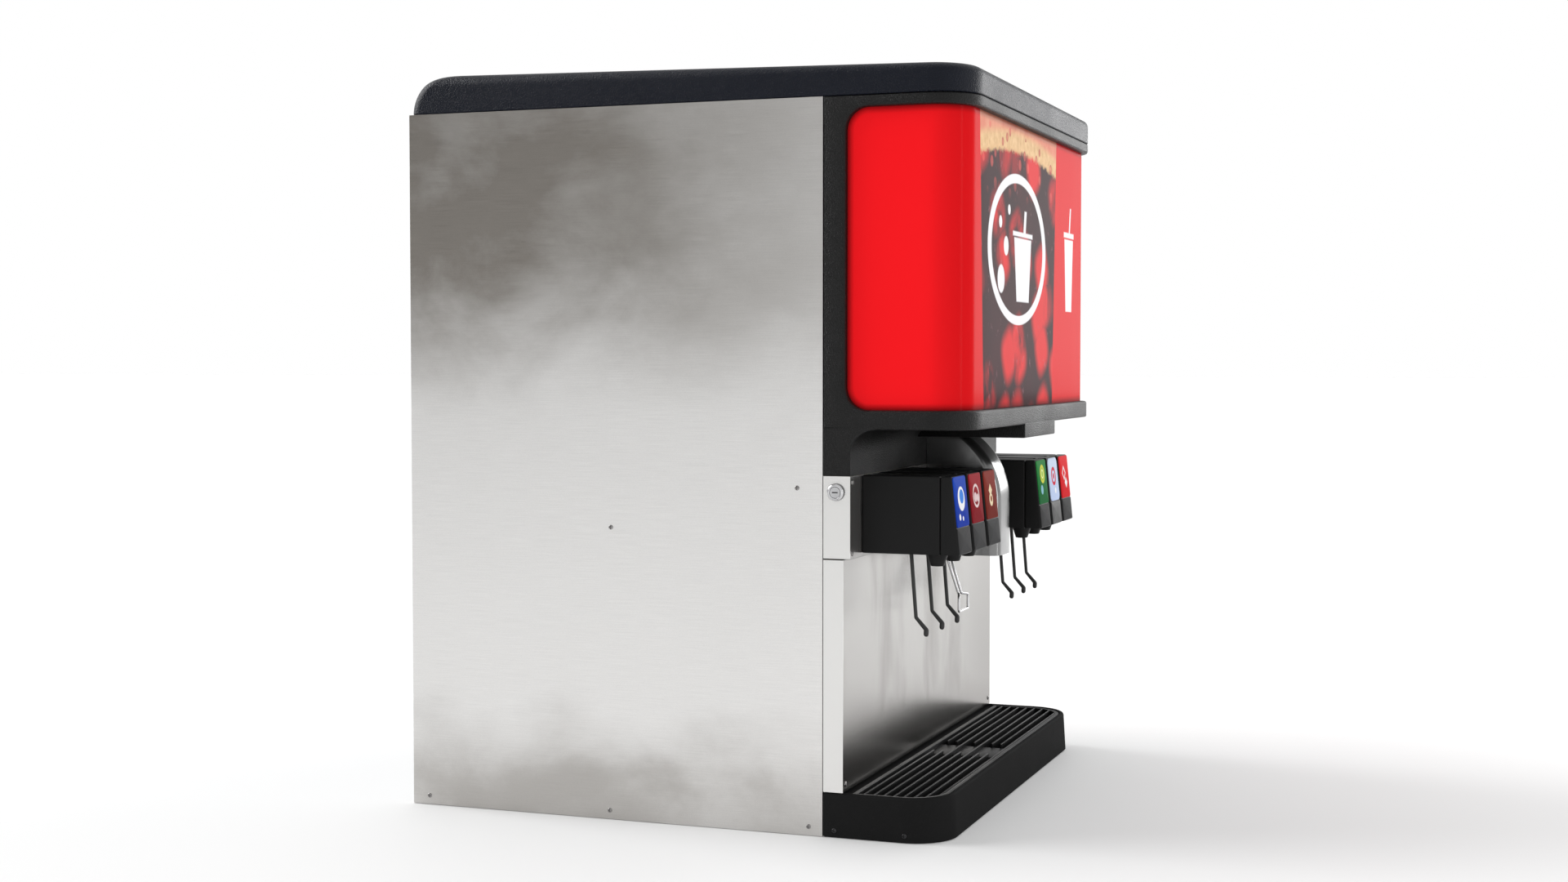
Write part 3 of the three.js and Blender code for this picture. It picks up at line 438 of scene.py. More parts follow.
def sprayed(name, colour, roughness):
    """Sprayed paint with orange peel, rubbed a little where it is handled."""
    coat = Finish(name)
    rub = coat.noise(25.0, 6.0, 0.6)
    return coat.paint(
        Base_Color=blended(rub, *near(colour, 0.88, 1.08)),
        Roughness=between(rub, 0.3, 0.7, roughness - 0.07, roughness + 0.07),
        Normal=coat.relief(coat.noise(700.0, 2.0, 0.5), 0.08, 0.0005),
    )


cover(sprayed("motor_paint", (0.042, 0.05, 0.06), 0.5), "gear_motor", "gate_solenoid", width=0.0012)
soft_rubber = moulded("soft_rubber", (0.012, 0.012, 0.012), 1100.0, 0.2, 0.75, 0.3)
cover(soft_rubber, "shaft_bushing", "lid_gasket", width=0.0008)

# ---- Valve panel, splash panel and lock ---------------------------------------------------------
# Two brushed stainless pans close the cabinet's front. The valves bolt to the upper one.
# A cam lock in its left side works the switch that shuts off the drinks.

PANEL_SEAM = (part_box("valve_panel")[0].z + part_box("splash_panel")[1].z) / 2
SEAM_DIRT = (0.0012, 0.0005)
TRAY_REFLECTION_BAND = (0.19, 0.07)
SIDE_EDGE = (HALF - 0.0016, HALF - 0.0002)


def shaded_front_steel(name, metallic):
    """Brushed stainless, painted darker than the side panels' steel as shade on the faces that look forward.
    On it are upright smudges where cups and hands touch it, a painted reflection of the dark tray that makes
    it darker towards the foot, painted shade towards the right, and dirt in the joint between the panels.
    The returned edges at both sides keep the side panels' brighter tone."""
    # Painted shade: the forward faces get a darker copy of the side panels' stainless.
    material = brushed_steel(
        name, (0.42, 0.41, 0.397, 1), (0.27, 0.257, 0.243, 1), (1500, 22, 22),
        clouds_and_reflection=0.0, rough=0.24, relief=0.015, spread=1.06,
    )
    steel = Finish.of(material)
    steel.shader.inputs["Metallic"].default_value = metallic
    brushed = steel.painted("Base Color")
    x, _, z = steel.position()
    smudge = steel.noise(6.0, 4.0, 0.55, (1.6, 1, 0.7), 0.6)
    wipe = steel.noise(12.0, 3.0, 0.5, (1.0, 1, 0.3))
    # Painted reflection of the dark tray: darker towards the foot.
    tray_reflection = between(z + smudge * 0.05, *TRAY_REFLECTION_BAND, 0.0, 0.75)
    smudges_and_shade = most(between(smudge * 0.8 + wipe * 0.2, 0.46, 0.68, 0.0, 0.6), tray_reflection)
    # Painted shade: darker towards the right.
    smudges_and_shade = most(smudges_and_shade, between(x, 0.08, 0.31, 0.0, 0.5))
    colour = blended(smudges_and_shade, brushed, (0.18, 0.168, 0.155, 1))
    # The returned edges are painted in the side panels' brighter tone.
    colour = blended(between(abs(x), *SIDE_EDGE), colour, (0.80, 0.795, 0.78, 1))
    dirt = between(abs(z - PANEL_SEAM), *SEAM_DIRT, 0.0, 0.9)
    return steel.paint(Base_Color=blended(dirt, colour, (0.03, 0.028, 0.025, 1)))


cover(shaded_front_steel("shaded_front_steel", 1.0), "splash_panel", width=0)
cover(shaded_front_steel("shaded_panel_steel", 0.86), "valve_panel", width=0)

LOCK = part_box("lock_barrel")


def plated_with_shade(name, colour, roughness, start, end):
    """Bright plating with painted shade: it goes dark from one depth behind the lock's face to another,
    where it is recessed.
    """
    plate = Finish.of(polished(name, colour, roughness))
    depth, _, _ = plate.position()
    share = between(depth, LOCK[0].x + start, LOCK[0].x + end, 0.0, 0.93)
    return plate.paint(Base_Color=blended(share, plate.painted("Base Color"), (0.02, 0.02, 0.02, 1)))


plated = polished("plated", (0.62, 0.62, 0.63), 0.13)
plug_plating = plated_with_shade("plug_plating", (0.56, 0.56, 0.57), 0.2, 0.0007, 0.0016)
cover(plug_plating, "lock_plug", width=0.0002)
collar_plating = plated_with_shade("collar_plating", (0.70, 0.70, 0.71), 0.08, 0.0006, 0.0034)
lock_centre = (LOCK[0] + LOCK[1]) / 2
lock_radius = (LOCK[1].z - LOCK[0].z) / 2


def lock_barrel():
    """The barrel is one closed turned profile: a domed collar with a rolled edge and a shallow ring, a
    bore for the plug, and the body behind the panel."""
    out = LOCK[0].x
    bore, body = 0.0063, 0.008
    profile = [
        (bore, -0.021), (bore, -0.0006), (bore + 0.0004, -0.0001), (0.0072, -0.0001),
        (0.0074, -0.0004), (0.0077, -0.0004), (0.0079, 0.0), (lock_radius - 0.0016, -0.0002),
        (lock_radius - 0.0006, -0.0008), (lock_radius - 0.0001, -0.0018), (lock_radius, -0.003),
        (lock_radius, -0.0046), (body, -0.0046), (body, -0.021), (bore, -0.021),
    ]
    made = turned(profile, 48)
    return np.stack([out - made[..., 2], lock_centre.y + made[..., 0], lock_centre.z + made[..., 1]], -1)


fit(surface("lock_collar", lock_barrel()), collar_plating, stands_for=["lock_barrel"])

VALVE_FACE, SPLASH_FACE = FRONT - 0.0315, FRONT - 0.0235
valve_screws = [(side * (HALF - 0.0079), VALVE_FACE, z) for side in (-1, 1) for z in (0.3103, 0.3876)]
splash_screws = [(side * (HALF - 0.009), SPLASH_FACE, 0.058) for side in (-1, 1)]
heads = screw_heads(valve_screws + splash_screws, (0, -1, 0))
fit(surface("front_screws", *heads), screw_metal)

# ---- Ice chute and its lever --------------------------------------------------------------------
# The chute's cover is a narrow hood of polished stainless, rolled back at the top under the canopy.
# The lever is one bent chrome wire: a cross rod, two legs and a square pad that a cup pushes.

MIDDLE = 0.0075
HOOD_HALF, HOOD_CORNER, HOOD_ROLL = 0.031, 0.012, 0.092
HOOD_BOTTOM, HOOD_SPRING, HOOD_TOP = 0.285, 0.352, 0.4287
HOOD_REACH, HOOD_REAR = 0.122, FRONT - 0.0319


def hood(thickness):
    """The hood's outer face, or its inner one at a thickness. Across, it is a skeleton of the corners'
    centres plus the corner's radius outwards. Upwards, it is straight and then an arc that leans
    back."""
    roll = HOOD_ROLL - thickness
    straight = np.linspace(HOOD_BOTTOM, HOOD_SPRING, 8)[:, None]
    lean = np.linspace(0, np.arcsin((HOOD_TOP - HOOD_SPRING) / roll), 22)[1:, None]
    height = np.vstack([straight, HOOD_SPRING + roll * np.sin(lean)])
    face = FRONT - HOOD_REACH + HOOD_ROLL - roll * np.vstack([np.ones_like(straight), np.cos(lean)])
    turn = np.linspace(0, np.pi / 2, 9)
    angle = np.concatenate([[np.pi], np.pi + turn, 1.5 * np.pi + turn, [2 * np.pi]])[None]
    side = np.where(np.arange(angle.size) < angle.size // 2, -1, 1)[None]
    x = MIDDLE + side * (HOOD_HALF - HOOD_CORNER) + (HOOD_CORNER - thickness) * np.cos(angle)
    y = face + (HOOD_CORNER - thickness) * (1 + np.sin(angle))
    rear = np.full_like(y[:, :1], HOOD_REAR)
    y = np.hstack([rear, y[:, 1:-1], rear])
    return np.stack([x + 0 * y, y, height + 0 * y], -1)


def sheet_metal(outer, inner):
    """A closed sheet between two faces given as grids: the columns run along one face and back along
    the other, and both ends are drawn in to the middle."""
    middle = (outer + inner) / 2
    loop = np.concatenate([outer, inner[:, ::-1], outer[:, :1]], 1)
    ends = np.concatenate([middle, middle[:, ::-1], middle[:, :1]], 1)
    return np.concatenate([ends[:1], loop, ends[-1:]])


def polished_sheet():
    """Polished stainless with painted shade: darker at the top, where it leans back under the canopy. Dust
    varies its tone and gloss."""
    steel = Finish("hood_steel", Metallic=1.0)
    _, _, height = steel.position()
    dust = steel.noise(45.0, 4.0, 0.6)
    unshaded_tone = blended(dust, (0.20, 0.20, 0.20, 1), (0.25, 0.25, 0.248, 1))
    shaded_tone = blended(dust, (0.17, 0.17, 0.17, 1), (0.23, 0.23, 0.23, 1))
    return steel.paint(
        # Painted shade: darker at the top, under the canopy.
        Base_Color=blended(between(height, 0.340, 0.395), unshaded_tone, shaded_tone),
        Roughness=between(dust, 0.3, 0.7, 0.14, 0.24),
    )


chute_hood = surface("chute_hood", sheet_metal(hood(0), hood(0.0015)))
fit(chute_hood, polished_sheet(), stands_for=["chute_cover"])


def filleted(corners, radii, steps=6, closed=False):
    """A path whose corners become arcs. Each arc turns about the point that is its radius away from
    both sides, between the two points where it touches them."""
    p = np.asarray(corners, float)
    r = np.broadcast_to(np.asarray(radii, float), len(p))[:, None]
    unit = lambda v: v / np.maximum(np.linalg.norm(v, axis=-1, keepdims=True), 1e-12)
    back, onward = unit(np.roll(p, 1, 0) - p), unit(np.roll(p, -1, 0) - p)
    half = np.arccos(np.clip(np.sum(back * onward, 1, keepdims=True), -0.99999, 0.99999)) / 2
    centre = p + unit(back + onward) * r / np.sin(half)
    start = p + back * r / np.tan(half) - centre
    end = p + onward * r / np.tan(half) - centre
    sweep = (np.pi - 2 * half)[:, None]
    k = np.linspace(0, 1, steps + 1)[None, :, None]
    arc = (np.sin((1 - k) * sweep) * start[:, None] + np.sin(k * sweep) * end[:, None]) / np.sin(sweep)
    path = centre[:, None] + arc
    if not closed:
        path = np.concatenate([p[:1], path[1:-1].reshape(-1, p.shape[1]), p[-1:]])
    return path.reshape(-1, p.shape[1])


def rod(path, radius, sides=12, level=(1, 0, 0)):
    """A round rod: at each point of the path a circle stands square to it, measured from a fixed level
    direction. Rounded ends close it."""
    path = np.asarray(path, float)
    along = np.gradient(path, axis=0)
    along /= np.linalg.norm(along, axis=1, keepdims=True)
    first = np.cross(along, level)
    first /= np.linalg.norm(first, axis=1, keepdims=True)
    second = np.cross(along, first)
    radius = np.broadcast_to(np.asarray(radius, float), len(path)).copy()
    bend = np.array([1.0, 0.85, 0.5, 0.0])
    reach = np.sqrt(1 - bend**2)
    centre = np.concatenate([
        path[0] - along[0] * (reach[::-1, None] * radius[0]), path[1:-1],
        path[-1] + along[-1] * (reach[:, None] * radius[-1]),
    ])
    size = np.concatenate([bend[::-1] * radius[0], radius[1:-1], bend * radius[-1]])[:, None, None]
    ends = len(bend)
    repeated = lambda v: (np.repeat(v[:1], ends, 0), v[1:-1], np.repeat(v[-1:], ends, 0))
    spread = lambda v: np.concatenate(repeated(v))[:, None]
    angle = np.linspace(0, 2 * np.pi, sides + 1)[None, :, None]
    ring = spread(first) * np.cos(angle) + spread(second) * np.sin(angle)
    return centre[:, None] + size * ring


wire = [
    (-28, -40.5, 312), (-9, -40.5, 312), (-6, -65.5, 235), (-21, -70, 232.5), (-21, -70, 215),
    (21, -70, 215), (21, -70, 232.5), (6, -65.5, 235), (9, -40.5, 312), (28, -40.5, 312),
]
bends = np.array([0, 4, 2.2, 2.6, 2.6, 2.6, 2.6, 2.2, 4, 0]) / 1000
wire = filleted(np.array(wire) / 1000 + (MIDDLE, FRONT, 0), bends)
WIRE_RADIUS = 0.0016
ice_lever_wire = surface("ice_lever_wire", rod(wire, WIRE_RADIUS, 14, (0, 1, 0)), sharp=60)
fit(ice_lever_wire, plated, "ice_lever", ["ice_lever"])

# ---- Merchandiser housing -----------------------------------------------------------------------
# One large charcoal moulding hooks on the cabinet's front. Its window wraps both front corners.
# Under the ledge a cove runs back to the valve panel, with a stepped canopy over the chute.

REACH, CORNER, SEAM = 0.165, 0.050, 0.0008
SIDE_RUN = REACH - SEAM - CORNER
CORNER_RUN = CORNER * np.pi / 2
FRONT_RUN = 2 * (HALF - CORNER)
WHOLE_RUN = 2 * (SIDE_RUN + CORNER_RUN) + FRONT_RUN
LEDGE, HOUSING_TOP = 0.445, PANEL_TOP - 0.0003
WINDOW_LOW, WINDOW_HIGH, WINDOW_REACH, WINDOW_BEND = 0.466, 0.7915, 0.0254, 0.025


def front_line(run, inset):
    """The plan of the front pieces at a distance run along it, from the left rear round to the right
    rear: a skeleton through the corners' centres, plus the corner's radius less the inset in the
    outward direction."""
    first = np.clip((run - SIDE_RUN) / CORNER_RUN, 0, 1)
    second = np.clip((run - SIDE_RUN - CORNER_RUN - FRONT_RUN) / CORNER_RUN, 0, 1)
    angle = np.pi + (first + second) * np.pi / 2
    x = -HALF + CORNER + np.clip(run - SIDE_RUN - CORNER_RUN, 0, FRONT_RUN)
    back = np.maximum(SIDE_RUN - run, 0) + np.maximum(run - WHOLE_RUN + SIDE_RUN, 0)
    y = FRONT - SEAM - SIDE_RUN + back
    return np.stack([x + (CORNER - inset) * np.cos(angle), y + (CORNER - inset) * np.sin(angle)], -1)


def marks(start, end, side_steps=4, corner_steps=16, front_steps=10):
    """Distances along the plan, closer together round the corners."""
    a, b = SIDE_RUN, SIDE_RUN + CORNER_RUN
    c, d = b + FRONT_RUN, b + FRONT_RUN + CORNER_RUN
    parts = [
        np.linspace(start, a, side_steps)[:-1], np.linspace(a, b, corner_steps)[:-1],
        np.linspace(b, c, front_steps)[:-1], np.linspace(c, d, corner_steps)[:-1],
        np.linspace(d, end, side_steps),
    ]
    return np.concatenate(parts)


def window_frame():
    """The frame round the window. A loop round the window and a loop round the housing's face are
    joined point to point, in distance along the plan and height. The section carried round them is a
    rounded lip into the window, the flat face, and a rounded outer edge."""
    near, far = WINDOW_REACH - SEAM, WHOLE_RUN - WINDOW_REACH + SEAM
    low, high, bend = WINDOW_LOW, WINDOW_HIGH, WINDOW_BEND
    run = marks(near + bend, far - bend)
    level = np.linspace(low + bend, high - bend, 9)
    inner, outer = [], []

    def side(s, z, s_out, z_out):
        inner.append(np.stack(np.broadcast_arrays(s, z), -1).astype(float))
        outer.append(np.stack(np.broadcast_arrays(s_out, z_out), -1).astype(float))

    def corner(s, z, start, s_edge, z_edge):
        to_edge = np.array([abs(s_edge - s), abs(z_edge - z)])
        tip = np.arctan2(*to_edge[::-1])
        tip = tip if start in (0, 180) else np.pi / 2 - tip
        angle = np.radians(start) + np.sort(np.append(np.linspace(0, np.pi / 2, 12), tip))
        way = np.stack([np.cos(angle), np.sin(angle)], -1)
        inner.append((s, z) + bend * way)
        outer.append((s, z) + way * np.min(to_edge / np.maximum(abs(way), 1e-9), 1, keepdims=True))

    side(run, low, run, LEDGE)
    corner(far - bend, low + bend, 270, WHOLE_RUN, LEDGE)
    side(far, level, WHOLE_RUN, level)
    corner(far - bend, high - bend, 0, WHOLE_RUN, HOUSING_TOP)
    side(run[::-1], high, run[::-1], HOUSING_TOP)
    corner(near + bend, high - bend, 90, 0, HOUSING_TOP)
    side(near, level[::-1], 0, level[::-1])
    corner(near + bend, low + bend, 180, 0, LEDGE)
    side(run[:1], low, run[:1], LEDGE)
    inner, outer = np.vstack(inner), np.vstack(outer)
    way = outer - inner
    way /= np.linalg.norm(way, axis=1, keepdims=True)
    turn = np.linspace(0, np.pi / 2, 6)
    lip, edge, wall = 0.003, 0.002, 0.011
    from_inner = np.concatenate([[0.0], lip * (1 - np.cos(turn))])
    depth_inner = np.concatenate([[wall], lip * (1 - np.sin(turn))])
    from_outer = np.concatenate([edge * (1 - np.sin(turn)), [0.0]])
    depth_outer = np.concatenate([edge * (1 - np.cos(turn)), [wall]])
    flat = np.concatenate([
        inner[None] + way[None] * from_inner[:, None, None],
        outer[None] - way[None] * from_outer[:, None, None],
    ])
    depth = np.concatenate([depth_inner, depth_outer])[:, None] + 0 * flat[..., 0]
    return np.concatenate([front_line(flat[..., 0], depth), flat[..., 1:]], -1)


COVE = 0.028
WALL = 0.0315
HOUSING_BOTTOM = 0.3946


def cove_section():
    """From the ledge's underside, down a quarter circle to the wall, and down to the valve panel."""
    turn = np.linspace(np.pi / 2, 0, 20)
    y = FRONT - WALL - COVE + COVE * np.cos(turn)
    z = LEDGE - COVE + COVE * np.sin(turn)
    return np.vstack([np.stack([y, z], 1), [(FRONT - WALL, HOUSING_BOTTOM)]])


def underside():
    """Three kinds of grid: the ledge's flat underside, from the plan straight back to the cove; the
    cove and wall across the whole width; and the cheeks at both sides, from the cabinet to the cove's
    curve."""
    cove_line = FRONT - WALL - COVE
    start = WALL + COVE - SEAM
    run = marks(start, WHOLE_RUN - start)
    edge = front_line(run, 0.010)
    share = np.linspace(0, 1, 3)[:, None]
    y = edge[None, :, 1] + (cove_line - edge[None, :, 1]) * share
    flat = np.stack([edge[None, :, 0] + 0 * y, y, np.full_like(y, LEDGE)], -1)
    section = cove_section()
    across = np.linspace(-HALF, HALF, 3)[:, None]
    wall = np.stack(np.broadcast_arrays(across, section[None, :, 0], section[None, :, 1]), -1)
    grids = [flat, wall]
    rim = np.vstack([[(cove_line, LEDGE + 0.002)], section])
    for side in (-1, 1):
        share = np.linspace(0, 1, 2)[:, None]
        y = FRONT - SEAM + (rim[None, :, 0] - FRONT + SEAM) * share
        grids.append(np.stack(np.broadcast_arrays(side * HALF, y, rim[None, :, 1]), -1))
    return grids


def rounded_block(low, high, radius, steps=4):
    """A box with round edges: the latitude and longitude grid of a sphere, with its eight parts moved
    apart to the box's corners. The poles are drawn in to the middle of their faces."""
    low, high = np.asarray(low, float), np.asarray(high, float)
    quarter = np.linspace(0, np.pi / 2, steps + 1)
    east = np.concatenate([quarter + k * np.pi / 2 for k in range(4)] + [[2 * np.pi]])
    sign_x = np.repeat([1, -1, -1, 1, 1], [steps + 1] * 4 + [1])
    sign_y = np.repeat([1, 1, -1, -1, 1], [steps + 1] * 4 + [1])
    north = np.concatenate([[-np.pi / 2], quarter - np.pi / 2, quarter, [np.pi / 2]])[:, None]
    sign_z = np.repeat([-1, 1], steps + 2)[:, None]
    spread = np.ones_like(north)
    spread[[0, -1]] = 0
    reach = (high - low) / 2 - radius
    middle = (high + low) / 2
    x = middle[0] + spread * sign_x * reach[0] + radius * np.cos(north) * np.cos(east)
    y = middle[1] + spread * sign_y * reach[1] + radius * np.cos(north) * np.sin(east)
    z = middle[2] + sign_z * reach[2] + radius * np.sin(north) + 0 * x
    return np.stack([x, y, z], -1)


CANOPY_HALF, CANOPY_LOW, CANOPY_HIGH, CANOPY_REAR = 0.0785, 0.429, 0.4475, FRONT - 0.0326
canopy = rounded_block(
    (MIDDLE - CANOPY_HALF, FRONT - REACH, CANOPY_LOW),
    (MIDDLE + CANOPY_HALF, CANOPY_REAR, CANOPY_HIGH), 0.0015,
)
charcoal = moulded("charcoal", (0.0045, 0.0044, 0.0044), 850.0, 0.7, 0.45, 0.27)
housing_moulding = surface("housing_moulding", window_frame(), *underside(), canopy)
fit(housing_moulding, charcoal, stands_for=["merchandiser_housing"])

# ---- Sign and light box -------------------------------------------------------------------------
# The sign is a sheet of clear plastic bent round both corners and printed on its back.
# It shows a tall cold drink with foam, on red, and a plain paper cup. A tube lamp in a white box lights it.

SIGN_INSET, SIGN_SHEET, SIGN_LOW, SIGN_HIGH = 0.0083, 0.003, 0.455, 0.7954
GLASS_MIDDLE, GLASS_FOOT_HALF, GLASS_TAPER = -0.0637, 0.168, 0.057
FOAM_TOP, FOAM_ARCH, FOAM_DEPTH = 0.760, 0.42, 0.022
BUBBLES = ((-0.155, 0.612, 0.016), (-0.132, 0.650, 0.011), (-0.158, 0.676, 0.007), (-0.118, 0.692, 0.006))
INK_EDGE = 0.001


def printed_sign():
    """The print, in the object's own X and Z: a tapering glass, foam with bubbles under an arched line, ice
    as soft red patches in the dark drink, and plain white marks drawn from straight edges and ovals.
    Painted shade darkens the red on the front face and the print near the window's frame, and the sheet
    glows faintly in its own colours as painted light from the lamp behind it."""
    # Painted glow: the sign shines faintly in its own colours, standing for the tube lamp behind it.
    sign = Finish(
        "printed_sign", Roughness=0.3, Specular_IOR_Level=0.002, Emission_Strength=0.10,
        Coat_Weight=0.035, Coat_Roughness=0.09,
    )
    x, y, z = sign.position()

    def oval(cx, cz, half_x, half_z):
        """How far out a point is from an oval's centre, as a share of its size."""
        return distance((x - cx) * (1 / half_x), (z - cz) * (1 / half_z))

    def box_mask(u, v, half_u, half_v):
        """One inside a box about the origin of u and v, and nought outside."""
        return between(most(abs(u) - half_u, abs(v) - half_v), INK_EDGE, -INK_EDGE)

    def cup(cx, cz, height, lower, upper):
        """A paper cup with a lid and a straw."""
        u, v = x - cx, z - cz
        width = (v * (1 / height) + 0.5) * (upper - lower) + lower
        body = between(most(abs(u) - width, abs(v) - height / 2), INK_EDGE, -INK_EDGE)
        lid = box_mask(u, v - height * 0.56, upper * 1.15, height * 0.035)
        slant = u - upper * 0.25 - (v - height * 0.75) * 0.2
        straw = box_mask(slant, v - height * 0.76, upper * 0.13, height * 0.18)
        return most(most(body, lid), straw)

    across = x - GLASS_MIDDLE
    glass_half = (z - WINDOW_LOW) * GLASS_TAPER + GLASS_FOOT_HALF
    in_glass = between(abs(across) - glass_half, 0.002, -0.002)

    from_middle, tone, _ = sign.cells(
        15.0, (1, 0, 1.1), 0.5, {"Exponent": 3.0}, distance="MINKOWSKI"
    )
    soft = sign.noise(19.0, 3.0, 0.55, (1, 0, 0.8), 0.4)
    lit = between(from_middle, 0.62, 0.30) * between(tone * 0.55 + soft * 0.9, 0.36, 0.66)
    deep = sign.noise(8.0, 2.0, 0.5, (1, 0, 1))
    drink = blended(deep, (0.008, 0.006, 0.008, 1), (0.06, 0.008, 0.012, 1))
    drink = blended(lit, drink, (0.66, 0.018, 0.020, 1))
    glint = between(sign.noise(55.0, 4.0, 0.6, (1, 0, 1)), 0.60, 0.74) * 0.3
    drink = blended(glint, drink, (0.42, 0.16, 0.20, 1))

    arch = FOAM_TOP - across * across * FOAM_ARCH
    froth = sign.noise(95.0, 4.0, 0.6, (1, 0, 1))
    foam = between(z - (arch + (froth - 0.5) * 0.016), -0.003, 0.004)
    foam_colour = blended(froth, (0.46, 0.22, 0.08, 1), (0.90, 0.66, 0.36, 1))
    from_bubble, _, pick = sign.cells(48.0, (1, 0, 1), 0.5)
    bubble = between(from_bubble, 0.36, 0.26) * between(pick, 0.6, 0.64)
    skin = bubble * between(from_bubble, 0.12, 0.3, 0.35, 1.0)
    foam_colour = blended(skin * 0.8, foam_colour, (0.14, 0.05, 0.02, 1))
    drink = blended(foam, drink, foam_colour)
    above = between(z - (arch + FOAM_DEPTH), -0.006, 0.008)
    blush = blended(sign.noise(35.0, 3.0, 0.6, (1, 0, 1)), (0.62, 0.09, 0.07, 1), (0.78, 0.40, 0.26, 1))
    drink = blended(above * 0.9, drink, blush)
    drink = blended(bubble * between(z, 0.735, 0.70, 0.4, 0.0), drink, (0.80, 0.12, 0.10, 1))

    red = blended(sign.noise(3.0, 2.0, 0.5), (0.93, 0.009, 0.014, 1), (0.97, 0.013, 0.018, 1))
    # Painted shade: the front face is a darker red than the sides.
    front = between(y, FRONT - REACH + 0.055, FRONT - REACH + 0.012)
    red = blended(front, red, (0.66, 0.007, 0.010, 1))
    marks_white = between(abs(oval(-0.075, 0.648, 0.132, 0.082) - 1.0), 0.075, 0.055)
    marks_white = most(marks_white, cup(-0.052, 0.625, 0.074, 0.030, 0.042))
    for cx, cz, size in BUBBLES:
        marks_white = most(marks_white, between(oval(cx, cz, size, size), 1.08, 0.92))
    marks_white = most(marks_white, cup(0.197, 0.628, 0.092, 0.017, 0.025))
    colour = blended(marks_white, blended(in_glass, red, drink), (0.80, 0.79, 0.81, 1))

    # Painted shadow of the frame: the print darkens near the window's edges.
    short_z = most(WINDOW_BEND - worked("MINIMUM", z - WINDOW_LOW, WINDOW_HIGH - z), 0.0)
    short_y = most(WINDOW_BEND - ((FRONT - WINDOW_REACH) - y), 0.0)
    from_edge = WINDOW_BEND - distance(short_z, short_y)
    colour = blended(between(from_edge, 0.009, -0.002, 0.0, 0.75), colour, (0.03, 0.002, 0.003, 1))
    waves = sign.relief(sign.noise(30.0, 2.0, 0.5), 0.02, 0.001)
    return sign.paint(Base_Color=colour, Emission_Color=colour, Normal=waves)


start = 0.018 - SEAM
run = marks(start, WHOLE_RUN - start)[None]
rise = np.linspace(SIGN_LOW, SIGN_HIGH, 6)[:, None]
faces = []
for inset in (SIGN_INSET, SIGN_INSET + SIGN_SHEET):
    plan = front_line(run + 0 * rise, inset)
    faces.append(np.concatenate([plan, (rise + 0 * run)[..., None]], -1))
sign_sheet = surface("sign_sheet", sheet_metal(*faces))
fit(sign_sheet, printed_sign(), stands_for=["sign_panel"])

cover(sprayed("white_paint", (0.82, 0.82, 0.80), 0.55), "light_box_back", "lamp_ballast", width=0.0006)


def lamp_glass():
    """White-coated glass, a little darker at its ends."""
    glass = Finish("lamp_glass", Roughness=0.2)
    x, _, _ = glass.position()
    end = between(abs(x), 0.22, 0.262)
    return glass.paint(Base_Color=blended(end, (0.86, 0.86, 0.84, 1), (0.35, 0.33, 0.31, 1)))


cover(lamp_glass(), "lamp_tube", width=0.001)

# ---- Valves -------------------------------------------------------------------------------------
# Each valve is a black moulded cover over its body, in two parts with a card holder on the slanted nose.
# Below hang a nozzle and a moulded lever, which turns on a pin and springs back.

OFFSETS = np.array([-0.259, -0.195, -0.131, 0.131, 0.195, 0.259])
VALVE_LOW, VALVE_HIGH = 0.3085, 0.394
NOSE_LOW, NOSE_HIGH = 0.1426, 0.1337


def ring(half_x, near, far, bend, steps=5):
    """A rectangle with round corners, or many at once: four quarter circles about the corners' centres.
    near and far are its lowest and highest Y, and bend is the radius at the near and far corners."""
    half_x, near, far = (np.asarray(v, float)[..., None] for v in (half_x, near, far))
    bend_near, bend_far = (np.asarray(v, float)[..., None] for v in bend)
    turn = np.linspace(0, np.pi / 2, steps + 1)
    x = np.concatenate([
        -half_x + bend_near - bend_near * np.cos(turn), half_x - bend_near + bend_near * np.sin(turn),
        half_x - bend_far + bend_far * np.cos(turn), -half_x + bend_far - bend_far * np.sin(turn),
    ], -1)
    y = np.concatenate([
        near + bend_near - bend_near * np.sin(turn), near + bend_near - bend_near * np.cos(turn),
        far - bend_far + bend_far * np.sin(turn), far - bend_far + bend_far * np.cos(turn),
    ], -1)
    x, y = (np.concatenate([v, v[..., :1]], -1) for v in (x, y))
    return x, y


def bell(half_x, nose, rear, low, high, wall, edge):
    """An upturned box, open below. Rings run from the middle of the roof, round its edge, down the
    outside, round the lip and up the inside to the middle of the ceiling. nose gives the front's Y at a
    height."""
    turn = np.linspace(0, np.pi / 2, 5)
    lip = 0.0003
    inset = np.concatenate([
        [edge, edge], edge * (1 - np.sin(turn))[1:], [0.0, lip, wall - lip, wall, wall, wall],
    ])
    height = np.concatenate([
        [high, high], high - edge * (1 - np.cos(turn))[1:],
        [low + lip, low, low, low + lip, high - wall, high - wall],
    ])
    shrink = np.ones(len(inset))
    shrink[[0, -1]] = 0
    bend = np.maximum(edge - inset, 0.0004)
    front = nose(height)
    x, y = ring(half_x - inset, front + inset, rear - inset, (bend, bend))
    middle = ((front + rear) / 2)[:, None]
    x, y = x * shrink[:, None], middle + (y - middle) * shrink[:, None]
    return np.stack([x, y, height[:, None] + 0 * x], -1)


def nose_at(z):
    """The slanted nose's Y at a height: a straight line from its foot to its top."""
    return FRONT - NOSE_LOW + (NOSE_LOW - NOSE_HIGH) * (z - VALVE_LOW) / (VALVE_HIGH - VALVE_LOW)


SHELL_HALF, SHELL_REAR, SPLIT, SPLIT_GAP = 0.0265, FRONT - 0.0322, 0.1206, 0.0005
shell = {"low": VALVE_LOW, "high": VALVE_HIGH, "wall": 0.002, "edge": 0.0018}
back_shell = bell(SHELL_HALF, lambda z: FRONT - SPLIT + 0 * z, SHELL_REAR, **shell)
nose_shell = bell(SHELL_HALF, nose_at, FRONT - SPLIT - SPLIT_GAP, **shell)


